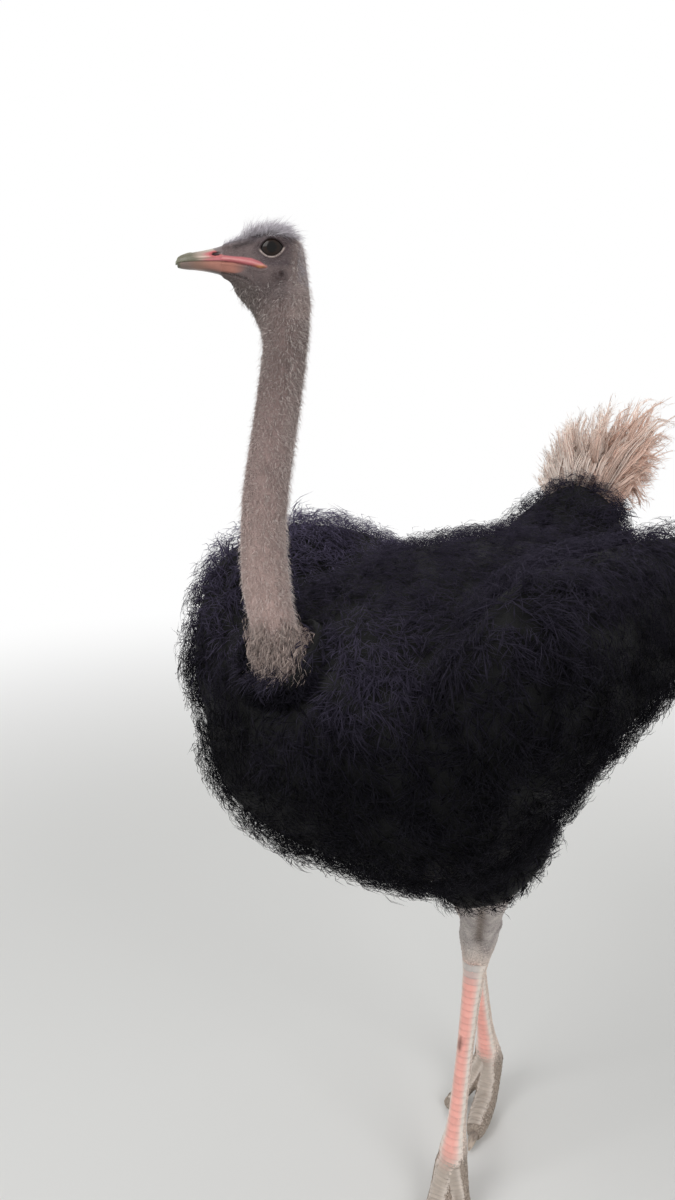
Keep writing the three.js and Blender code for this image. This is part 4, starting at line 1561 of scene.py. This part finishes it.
def sculptLegs(skin):
    mesh = skin.data
    points, normals = coordinates(mesh), normalsOf(mesh)
    push = np.zeros(len(points))
    heading = np.array(shinFront)
    sideways = np.cross(heading, [0, 0, 1.0])
    for name, leg in legJoints.items():
        near = lengths(points[:, :2] - np.array(leg["hock"])[:2]) < 0.35
        share, offset = alongLine(points, leg["knee"], leg["hock"])
        size = lengths(offset)
        onShank = near & (share > 0.45) & (share < 1.14) & (size < 0.11)
        front = (offset @ heading > 0) & onShank
        fade = smoothstep(0.45, 0.62, share) * smoothstep(1.14, 1.02, share)
        push -= legLook["grooveDeep"] * bump(offset @ sideways, legLook["grooveWide"]) * fade * front
        push += 0.0030 * bump(abs(offset @ sideways) - 0.020, 0.008) * fade * front
        wrinkle = np.sin(2 * math.pi * points[:, 2] / 0.011 + 2.5 * grain(points, 0.05, 2.0))
        push += 0.0007 * wrinkle * fade * onShank
        # a knob on the inner side of the joint
        knob = lengths(points - (np.array(leg["hock"]) + [0.040, 0.004, 0.030]))
        push += 0.007 * bump(knob, 0.022) * near
        # the soft tendon behind the long bone
        share, offset = alongLine(points, leg["hock"], leg["ball"])
        behind = (offset[:, 1] > 0.004) & near & (share > 0.1) & (share < 0.9)
        behind &= lengths(offset) < 0.05
        push += 0.003 * bump(offset[:, 0], 0.007) * behind
        # cross folds over the toes
        forward, outward = ((points - np.array(leg["ball"])) @ way for way in toeWays(leg))
        foot = (points[:, 2] < leg["ball"].z + 0.03) & (abs(outward) < 0.12)
        foot &= (forward > -0.05) & (forward < 0.19)
        foot &= near | (lengths(points[:, :2] - np.array(leg["ball"])[:2]) < 0.22)
        along = forward + 0.2 * abs(outward) + 0.4 * points[:, 2]
        wave = np.sin(2 * math.pi * along / legLook["foldLong"][name])
        push += legLook["foldDeep"][name] * (abs(wave) - 0.6) * foot * smoothstep(0.016, 0.03, points[:, 2])
    points += normals * push[:, None]
    points[:, 2] = np.maximum(points[:, 2], 0.0)
    setCoordinates(mesh, points)
    print("legs shaped")


def chainOf(leg, outer):
    # the line of scutes: down the long bone, over the ball and along a toe, with the way they face
    hock, ball = np.array(leg["hock"]), np.array(leg["ball"])
    out = legLook["bigToe"]
    if outer:
        ends = [(0.022, 0.030), (0.048, 0.047), (0.078, 0.064), (0.098, 0.074)]
    else:
        ends = [(0.026, out), (0.058, out), (0.098, out), (0.140, out), (0.160, out)]
    heights = [leg["toeRise"], max(leg["toeRise"] * 0.5, 0.022), 0.020, 0.018, 0.016]
    toe = [fromBall(leg, forward, outward, height) for (forward, outward), height in zip(ends, heights)]
    line = np.array([hock + (ball - hock) * t for t in (0.13, 0.3, 0.6, 0.85, 0.97)] + toe)
    return line if not outer else line[4:]


def alongChain(line, distance):
    # the place and heading at a distance along a line, and the line's length
    steps = np.concatenate([[0], np.cumsum(lengths(np.diff(line, axis=0)))])
    at = np.stack([np.interp(distance, steps, line[:, k]) for k in range(3)], -1)
    ahead = np.stack([np.interp(distance + 0.012, steps, line[:, k]) for k in range(3)], -1)
    behind = np.stack([np.interp(distance - 0.012, steps, line[:, k]) for k in range(3)], -1)
    return at, unit(ahead - behind), steps[-1]


# a scute's grid: rows down the leg, with their height and shade, and columns round it
plateRows = np.array([0.0, 0.3, 0.75, 1.0])
plateHigh = np.array([0.25, 0.75, 1.0, 0.45])
plateShade = np.array([0.9, 1.0, 1.02, 0.9])
plateColumns = np.linspace(-1, 1, 9)


def plateFaces():
    # a closed shell between an upper and a lower grid
    count = len(plateRows) * len(plateColumns)
    grid = np.arange(count).reshape(len(plateRows), len(plateColumns))
    quads = np.stack([grid[:-1, :-1], grid[1:, :-1], grid[1:, 1:], grid[:-1, 1:]], -1).reshape(-1, 4)
    rim = np.concatenate([grid[0, :-1], grid[:-1, -1], grid[-1, :0:-1], grid[:0:-1, 0]])
    walls = np.stack([rim, np.roll(rim, -1), np.roll(rim, -1) + count, rim + count], -1)
    quads = np.concatenate([quads, quads[:, ::-1] + count, walls[:, ::-1]])
    return np.concatenate([quads[:, [0, 1, 2]], quads[:, [0, 2, 3]]])


def underPlate(tree, line, distance, pitch, span, onFoot):
    # points of the skin below one plate, and the ways out through them
    reach = 0.075 * (1 - onFoot) + 0.036 * onFoot
    points, ways = [], []
    for row in plateRows:
        for column in plateColumns:
            spot = distance + pitch * (1.12 * row + 0.22 * (1 - column**2))
            centre, tangent, _ = alongChain(line, spot)
            facing = np.array([0.12 * (1 - onFoot), -1.0, 0.05 + 0.6 * onFoot])
            facing = unit(facing - (facing @ tangent) * tangent)
            if facing[2] < 0:
                facing = facing * [1, 1, -1]
            side = np.cross(tangent, facing)
            way = facing * math.cos(span * column) + side * math.sin(span * column)
            hit = tree.ray_cast(Vector(centre), Vector(way), reach)[0]
            # where a toe parts from its neighbour there's no skin ahead, and the plate sinks in the flesh
            points.append(centre + way * reach * 0.8 if hit is None else np.array(hit))
            ways.append(way)
    return np.array(points), np.array(ways)


def growScutes(skin, material):
    # broad overlapping plates, each a closed shell that follows the skin
    tree = treeOfMesh(skin.data)
    rng = np.random.default_rng(legLook["scuteSeed"])
    rows, columns = len(plateRows), len(plateColumns)
    faces = plateFaces()
    lift = (plateHigh[:, None] * (1 - abs(plateColumns[None, :]) ** 5)).reshape(-1, 1)
    shade = np.repeat(plateShade, columns)[:, None]
    rim = np.tile(smoothstep(0.35, 0.75, abs(plateColumns)), rows)[:, None]
    spread = np.stack([np.tile(plateColumns, 2 * rows), np.tile(np.repeat(plateRows, columns), 2)], 1)
    spread = spread * patchSize / 2
    names = ("scute", "scutePale", "toeLit", "shankPale")
    pink, pale, grey, shank = (np.array(linear(markings[name])) for name in names)
    for name, leg in legJoints.items():
        parts = []
        for outer in (False, True):
            line = chainOf(leg, outer)
            _, _, total = alongChain(line, 0.0)
            footAt = 0 if outer else np.linalg.norm(line[4] - line[0])
            distance = 0.0
            while distance < total - 0.012:
                onFoot = 1.0 if outer else smoothstep(footAt - 0.05, footAt + 0.03, distance)
                pitch = legLook["scutePitch"] * (1 - onFoot) + legLook["toePitch"] * onFoot
                span = math.radians(legLook["scuteSpan"] * (1 - 0.3 * onFoot)) * (0.9 + 0.1 * rng.random())
                thick = legLook["scuteThick"] * (1 - 0.4 * onFoot)
                points, ways = underPlate(tree, line, distance, pitch, span, onFoot)
                top = points + ways * (thick * lift + 0.0005)
                low = points - ways * 0.0014
                started = 1.0 if outer else smoothstep(0.0, 0.045, distance)
                tone = (pink * (1 - onFoot) + grey * onFoot) * rng.uniform(0.9, 1.06)
                tone = tone * started + shank * (1 - started)
                edge = rim * (1 - 0.5 * onFoot)
                shades = mixed((tone * (1 - edge) + pale * edge) * shade, markings["scab"], scab(top))
                # the underside of each plate is painted darker, as painted shade
                both, shades = np.concatenate([top, low]), np.concatenate([shades, shades * 0.7])
                spots = np.array([0.1 + 0.3 * outer, 0.02 + 0.96 * distance / total]) + spread
                parts.append((both, faces, shades, spots))
                distance += pitch
        coatPiece(f"scutes_{name}", parts, material)


def growScales(surface, shares, material):
    # small rounded scales on the hocks, the sides of the long bones and the feet
    rng = np.random.default_rng(legLook["scaleSeed"])
    where, facing = rootsOn(surface, shares["legs"], 52000, 53, legLook["scaleSpacing"])
    height = where[:, 2]
    kept = (height > 0.012) & (height < 0.80)
    where, facing, height = where[kept], facing[kept], height[kept]
    size = legLook["scaleSpacing"] * rng.uniform(0.42, 0.62, len(where)) * np.where(height > 0.5, 0.85, 1.0)
    across = unit(np.cross(facing, [0.3, 0.2, 1.0]))
    upward = np.cross(across, facing)
    turn = np.arange(6) * math.pi / 3
    ring = across[:, None] * np.cos(turn)[None, :, None] * 1.15
    ring = ring + upward[:, None] * np.sin(turn)[None, :, None]
    rim = where[:, None] + ring * size[:, None, None] - facing[:, None] * 0.0003
    top = (where + facing * legLook["scaleHigh"])[:, None]
    # six corners round a middle, closed below
    points = np.concatenate([rim, top], 1)
    faces = [[k, (k + 1) % 6, 6] for k in range(6)] + [[0, 2, 1], [0, 3, 2], [0, 4, 3], [0, 5, 4]]
    faces = np.array(faces)[None] + (np.arange(len(where)) * 7)[:, None, None]
    colour = birdColour(where, flatShares(len(where), legs=1.0))
    colour = colour * rng.uniform(0.9, 1.12, (len(where), 1))
    # painted shade on each scale's rim, and a painted highlight on its crown
    shades = np.repeat(colour[:, None], 7, 1) * np.array([0.82] * 6 + [1.1])[None, :, None]
    u = np.arctan2(where[:, 0] - standX, where[:, 1] - standY) / (2 * math.pi) + 0.5
    spots = np.stack([0.01 + 0.98 * u, 0.01 + 0.98 * height / 0.9], 1)
    spread = np.concatenate([np.stack([np.cos(turn), np.sin(turn)], 1), np.zeros((1, 2))]) * patchSize / 2
    maps = (spots[:, None] + spread[None]).reshape(-1, 2)
    part = (points.reshape(-1, 3), faces.reshape(-1, 3), shades.reshape(-1, 3), maps)
    coatPiece("leg_scales", [part], material)


# claws: flat below and keeled above, with fine ridges along them
clawLook = {"horn": "#8f8278", "tip": "#c9b8a8", "worn": "#5f544c"}
# forward of the ball, middle height, half width, half depth
clawStations = [
    (0.140, 0.021, 0.0110, 0.0085),
    (0.154, 0.0200, 0.0115, 0.0092),
    (0.172, 0.0178, 0.0112, 0.0088),
    (0.188, 0.0150, 0.0092, 0.0072),
    (0.200, 0.0115, 0.0062, 0.0050),
    (0.209, 0.0085, 0.0022, 0.0022),
]


def makeClaws(material):
    for name, leg in legJoints.items():
        def shape(down, turn):
            first, last = clawStations[0][0], clawStations[-1][0]
            forward = first + (last - first) * np.sin(down * math.pi / 2)
            high, wide, deep = (between(clawStations, forward, c) for c in (1, 2, 3))
            angle = 2 * math.pi * turn
            sine = np.sin(angle)
            up = np.where(sine > 0, deep * abs(sine) ** 0.85, -0.55 * deep * abs(sine) ** 0.6)
            side = wide * np.cos(angle) * (1 + 0.012 * np.sin(9 * angle))
            tip = down > 1 - 1e-6
            side, up = np.where(tip, 0, side), np.where(tip, 0, up)
            places = [fromBall(leg, f, legLook["bigToe"] + leg["hand"] * s, h)
                      for f, s, h in zip(forward, side, np.maximum(high + up, 0.0004))]
            return np.array(places)

        claw = shapedGrid(f"claw_horn_{name}", 40, 44, shape)
        points = coordinates(claw.data)
        reach = (points - fromBall(leg, 0, 0, 0)) @ toeWays(leg)[0]
        colour = plainColour(clawLook["horn"], len(points))
        colour = mixed(colour, clawLook["tip"], smoothstep(0.17, 0.205, reach))
        wear = smoothstep(0.2, 0.9, grain(points * [3, 0.6, 3], 0.03, 4.0))
        tint(claw.data, mixed(colour, clawLook["worn"], 0.5 * wear))
        claw.data.materials.append(material)
        print(claw.name, len(claw.data.polygons), "faces")
        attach(claw, "root")
        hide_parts(f"claw_{name}")


# the picture: pale floor, soft light, and a camera at the height of a standing person
def aimed(name, data, spot, target):
    thing = bpy.data.objects.new(name, data)
    bpy.context.scene.collection.objects.link(thing)
    thing.location = spot
    thing.rotation_euler = (Vector(target) - Vector(spot)).to_track_quat("-Z", "Y").to_euler()
    return thing


def seenRays(tree):
    # 1 for what the camera sees, straight or through gloss and glass, and 0 for the light on things
    path = addNode(tree, "ShaderNodeLightPath")
    first = mathNode(tree, "MAXIMUM", path.outputs["Is Camera Ray"], path.outputs["Is Glossy Ray"])
    return mathNode(tree, "MAXIMUM", first, path.outputs["Is Transmission Ray"])


def fadeToWhite(tree, surface):
    # the floor runs out into the white studio wall, some metres from the bird
    where = addNode(tree, "ShaderNodeTexCoord")
    far = addNode(tree, "ShaderNodeVectorMath", {"operation": "LENGTH"}, {0: where.outputs["Object"]})
    fade = {"interpolation_type": "SMOOTHSTEP", "From Min": 1.6, "From Max": 6.0}
    share = addNode(tree, "ShaderNodeMapRange", fade, {"Value": far.outputs["Value"]})
    both = mathNode(tree, "MULTIPLY", share.outputs[0], seenRays(tree))
    white = addNode(tree, "ShaderNodeEmission", {"Color": (1, 1, 1, 1), "Strength": 1.0})
    blend = addNode(tree, "ShaderNodeMixShader", {}, {0: both, 1: surface.outputs[0], 2: white.outputs[0]})
    tree.links.new(blend.outputs[0], tree.nodes["Material Output"].inputs["Surface"])


def setStage():
    bm = bmesh.new()
    bmesh.ops.create_grid(bm, x_segments=1, y_segments=1, size=60)
    floor = pieceFrom(bm, "floor")
    paint, tree, surface = newMaterial("matt emulsion floor", Roughness=0.9)
    surface.inputs["Base Color"].default_value = linear("#e6e6e4") + [1]
    fadeToWhite(tree, surface)
    floor.data.materials.append(paint)
    lamps = [
        ("key lamp", 84, 2.6, (-1.4, -3.6, 4.2)),
        ("side lamp", 50, 2.4, (3.6, -1.2, 3.0)),
        ("rear lamp", 46, 2.2, (-1.6, 3.6, 3.6)),
    ]
    for name, power, size, spot in lamps:
        lamp = bpy.data.lights.new(name, "AREA")
        lamp.energy = power
        lamp.size = size
        aimed(name, lamp, spot, (0, -0.1, 1.2)).visible_glossy = name == "key lamp"
    world = bpy.data.worlds.new("studio")
    bpy.context.scene.world = world
    world.use_nodes = True
    tree = world.node_tree
    air = tree.nodes["Background"]
    air.inputs["Color"].default_value = (1, 1, 1, 1)
    level = addNode(tree, "ShaderNodeMapRange", {"To Min": 0.48, "To Max": 1.0}, {"Value": seenRays(tree)})
    tree.links.new(level.outputs[0], air.inputs["Strength"])
    bpy.context.scene.view_settings.view_transform = "Standard"


cameraView = {
    "lens": 26,
    "spot": (1.568, 0.834, 1.80),  # forward and left of the bird's middle, and up
    "heading": 38,  # degrees, from straight towards the tail round to the bird's right
    "down": 13,  # degrees
}


def setCamera():
    camera = bpy.data.cameras.new("camera")
    camera.lens = cameraView["lens"]
    camera.sensor_fit = "AUTO"
    spot = place(*cameraView["spot"])
    heading, down = math.radians(cameraView["heading"]), math.radians(cameraView["down"])
    level = math.cos(down)
    ahead = Vector((-math.sin(heading) * level, math.cos(heading) * level, -math.sin(down)))
    bpy.context.scene.camera = aimed("camera", camera, spot, spot + ahead)


eyeLook = {"rim": "#120c0a", "iris": "#26170f", "pupil": "#060404"}


def makeEyes(material):
    for side, hand in (("left", 1), ("right", -1)):
        bm = bmesh.new()
        bmesh.ops.create_uvsphere(bm, u_segments=64, v_segments=40, radius=headShape["eyeRound"] * mm)
        eye = pieceFrom(bm, f"eyeball_{side}")
        eye.data.transform(Matrix.Translation(fromHead([[0, hand * headShape["eyeOut"], 0]])[0]))
        forward, _, up = toHead(coordinates(eye.data)).T
        out, turn = np.hypot(forward, up), np.arctan2(up, forward)
        iris = smoothstep(14.5, 12, out) * (0.7 + 0.3 * np.sin(23 * turn))
        colour = mixed(plainColour(eyeLook["rim"], len(out)), eyeLook["iris"], iris)
        tint(eye.data, mixed(colour, eyeLook["pupil"], smoothstep(8.2, 7.2, out)))
        smoothShaded(eye.data)
        eye.data.materials.append(material)
        print(eye.name, len(eye.data.polygons), "faces")
        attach(eye, "root")
        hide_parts(f"eye_{side}")


def grown(name, look, **shader):
    # a finish takes its colour from the piece's markings, with a grain of a real size. Patch, grain and the
    # height of the relief are in millimetres, and stretch runs along x, y and z.
    material, tree, surface = newMaterial(name, **shader)
    marked = addNode(tree, "ShaderNodeVertexColor", {"layer_name": "tint"})
    where = addNode(tree, "ShaderNodeTexCoord")
    stretch = {"Scale": look.get("stretch", (1, 1, 1))}
    lie = addNode(tree, "ShaderNodeMapping", stretch, {"Vector": where.outputs["Object"]})
    spot = {"Vector": lie.outputs[0]}
    patch = addNode(tree, "ShaderNodeTexNoise", {"Scale": 1 / (look["patch"] * mm), "Detail": 3}, spot)
    fine = addNode(tree, "ShaderNodeTexNoise", {"Scale": 1 / (look["grain"] * mm), "Detail": 4}, spot)
    mottle = {"To Min": 1 - look["mottle"], "To Max": 1 + look["mottle"]}
    tone = addNode(tree, "ShaderNodeMapRange", mottle, {"Value": patch.outputs["Fac"]}).outputs[0]
    relief = fine.outputs["Fac"]
    if "cells" in look:
        # cracks between small scales, deepest on the legs
        size = {"feature": "DISTANCE_TO_EDGE", "Scale": 1 / (look["cells"] * mm)}
        cells = addNode(tree, "ShaderNodeTexVoronoi", size, spot)
        crack = addNode(tree, "ShaderNodeMapRange", {"interpolation_type": "SMOOTHSTEP", "From Max": 0.16},
                        {"Value": cells.outputs["Distance"]}).outputs[0]
        height = addNode(tree, "ShaderNodeSeparateXYZ", {}, {"Vector": where.outputs["Object"]})
        low = {"From Min": 1.0, "From Max": 0.85, "To Min": 0.15, "To Max": 1.0}
        legs = addNode(tree, "ShaderNodeMapRange", low, {"Value": height.outputs["Z"]}).outputs[0]
        deep = addNode(tree, "ShaderNodeMapRange", {"To Min": 0.78, "To Max": 1.0}, {"Value": crack})
        darker = addNode(tree, "ShaderNodeMix", {"data_type": "FLOAT", "A": 1.0},
                         {"Factor": legs, "B": deep.outputs[0]})
        tone = mathNode(tree, "MULTIPLY", tone, darker.outputs[0])
        relief = mathNode(tree, "ADD", mathNode(tree, "MULTIPLY", crack, legs), relief)
    colour = addNode(tree, "ShaderNodeVectorMath", {"operation": "SCALE"},
                     {"Vector": marked.outputs["Color"], "Scale": tone})
    low, high = look["rough"]
    rough = {"From Min": 0.3, "From Max": 0.7, "To Min": low, "To Max": high}
    dull = addNode(tree, "ShaderNodeMapRange", rough, {"Value": fine.outputs["Fac"]})
    rise = {"Strength": 1.0, "Distance": look["relief"] * mm}
    bumps = addNode(tree, "ShaderNodeBump", rise, {"Height": relief})
    tree.links.new(colour.outputs[0], surface.inputs["Base Color"])
    tree.links.new(dull.outputs[0], surface.inputs["Roughness"])
    tree.links.new(bumps.outputs[0], surface.inputs["Normal"])
    return material


finishes = {
    # bare leathery skin: dull, with fine creases, and cracked into small scales on the legs
    "leathery skin": ({"patch": 22, "grain": 1.6, "mottle": 0.16, "cells": 4.2, "relief": 0.5,
                       "rough": (0.5, 0.75)}, {"Specular IOR Level": 0.22}),
    # worn keratin, grown forwards: long faint streaks and a satin shine
    "bill keratin": ({"patch": 9, "grain": 1.2, "mottle": 0.14, "relief": 0.12, "rough": (0.28, 0.5)}, {}),
    # unhooked barbs of black plumage: matt and soft, with a cool bloom where the light grazes
    "loose black barbs": ({"patch": 60, "grain": 6, "mottle": 0.18, "relief": 0.05, "rough": (0.8, 1.0)},
                          {"Specular IOR Level": 0.1, "Sheen Weight": 0.07,
                           "Sheen Tint": linear("#8a84a6") + [1]}),
    # short hair-like down: chalky and velvety
    "fine grey down": ({"patch": 14, "grain": 2, "mottle": 0.12, "relief": 0.05, "rough": (0.7, 0.9)},
                       {"Specular IOR Level": 0.3, "Sheen Weight": 0.15}),
    # long waved tail barbs: silky, warmer in their folds
    "cream tail barbs": ({"patch": 18, "grain": 2.5, "mottle": 0.14, "relief": 0.05, "rough": (0.55, 0.8)},
                         {"Specular IOR Level": 0.35, "Sheen Weight": 0.2}),
    # overlapping horny plates: pitted and half dull, polished on their crowns
    "horny scutes": ({"patch": 12, "grain": 1.4, "mottle": 0.16, "relief": 0.2, "rough": (0.35, 0.65)}, {}),
    # claw horn worn on the ground: ridged along its length, scuffed pale at its tip
    "worn claw horn": ({"patch": 7, "grain": 1.0, "mottle": 0.22, "relief": 0.25, "rough": (0.3, 0.6),
                        "stretch": (1, 0.25, 1)}, {}),
    # wet cornea over a dark brown iris: a deep brown with one clear highlight
    "wet eyeball": ({"patch": 8, "grain": 2, "mottle": 0.15, "relief": 0.0, "rough": (0.03, 0.06)},
                    {"IOR": 1.34, "Specular IOR Level": 0.42}),
}


def finish(name):
    look, shader = finishes[name]
    return grown(name, look, **shader)


# how far the skin may lie from the solids of neck and legs, and still belong to them
growthGaps = {"foot": 0.030, "neck": 0.024, "leg": 0.010, "thigh": 0.014}


def growthShares(points):
    # where each kind of thing grows: 1 on its own part of the skin and 0 elsewhere
    headTree = treeOf(neckNodes + ["head"] + eyeNodes + billNodes)
    found = [headTree.find_nearest(Vector(p)) for p in points]
    neckGap = np.array([near[3] for near in found])
    outNeck = np.array([(Vector(p) - near[0]).dot(near[1]) for p, near in zip(points, found)])
    legGap = nearestDistance(treeOf(legNodes), points)
    height = points[:, 2]
    grows = {
        "foot": neckGap < growthGaps["foot"],
        "neck": (neckGap < growthGaps["neck"]) & (height > plumage["neckFoot"]) & (outNeck < 0.004),
        "ring": (neckGap < growthGaps["foot"]) & (outNeck < 0.010),
        "legs": (legGap < growthGaps["leg"]) & (height < skinShape["legTop"]),
        "thighs": (legGap < growthGaps["thigh"]) & (height > 0.82) & (height < 1.02),
    }
    shares = {name: part.astype(float) for name, part in grows.items()}
    shares["body"] = 1 - np.maximum(shares["neck"], shares["legs"])
    return shares


setCamera()
setStage()
skin, outside = makeSkin()
sinkNeck(skin)
sculptHead(skin)
sculptLegs(skin)
smoothShaded(skin.data)
points, normals = coordinates(skin.data), normalsOf(skin.data)
shares = growthShares(points)
tint(skin.data, birdColour(points, shares))
skin.data.materials.append(finish("leathery skin"))
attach(skin, "root")
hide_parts("head", *neckNodes, *bodyNodes, *shankNodes, *tarsusNodes, *toeNodes)
horn = finish("bill keratin")
for upper in (True, False):
    half = halfBill(upper)
    half.data.materials.append(horn)
    print(half.name, len(half.data.polygons), "faces")
    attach(half, "root")
    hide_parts("bill_upper" if upper else "bill_lower")
makeEyes(finish("wet eyeball"))
surface = (points, normals, skinTriangles(skin.data))
growPlumage(skin, surface, shares, outside, finish("loose black barbs"))
downy = finish("fine grey down")
growDown(surface, shares, downy)
growCollar(surface, shares, downy)
plumy = finish("cream tail barbs")
growTail(plumy)
growPrimaries(plumy)
scaly = finish("horny scutes")
growScutes(skin, scaly)
growScales(surface, shares, scaly)
makeClaws(finish("worn claw horn"))
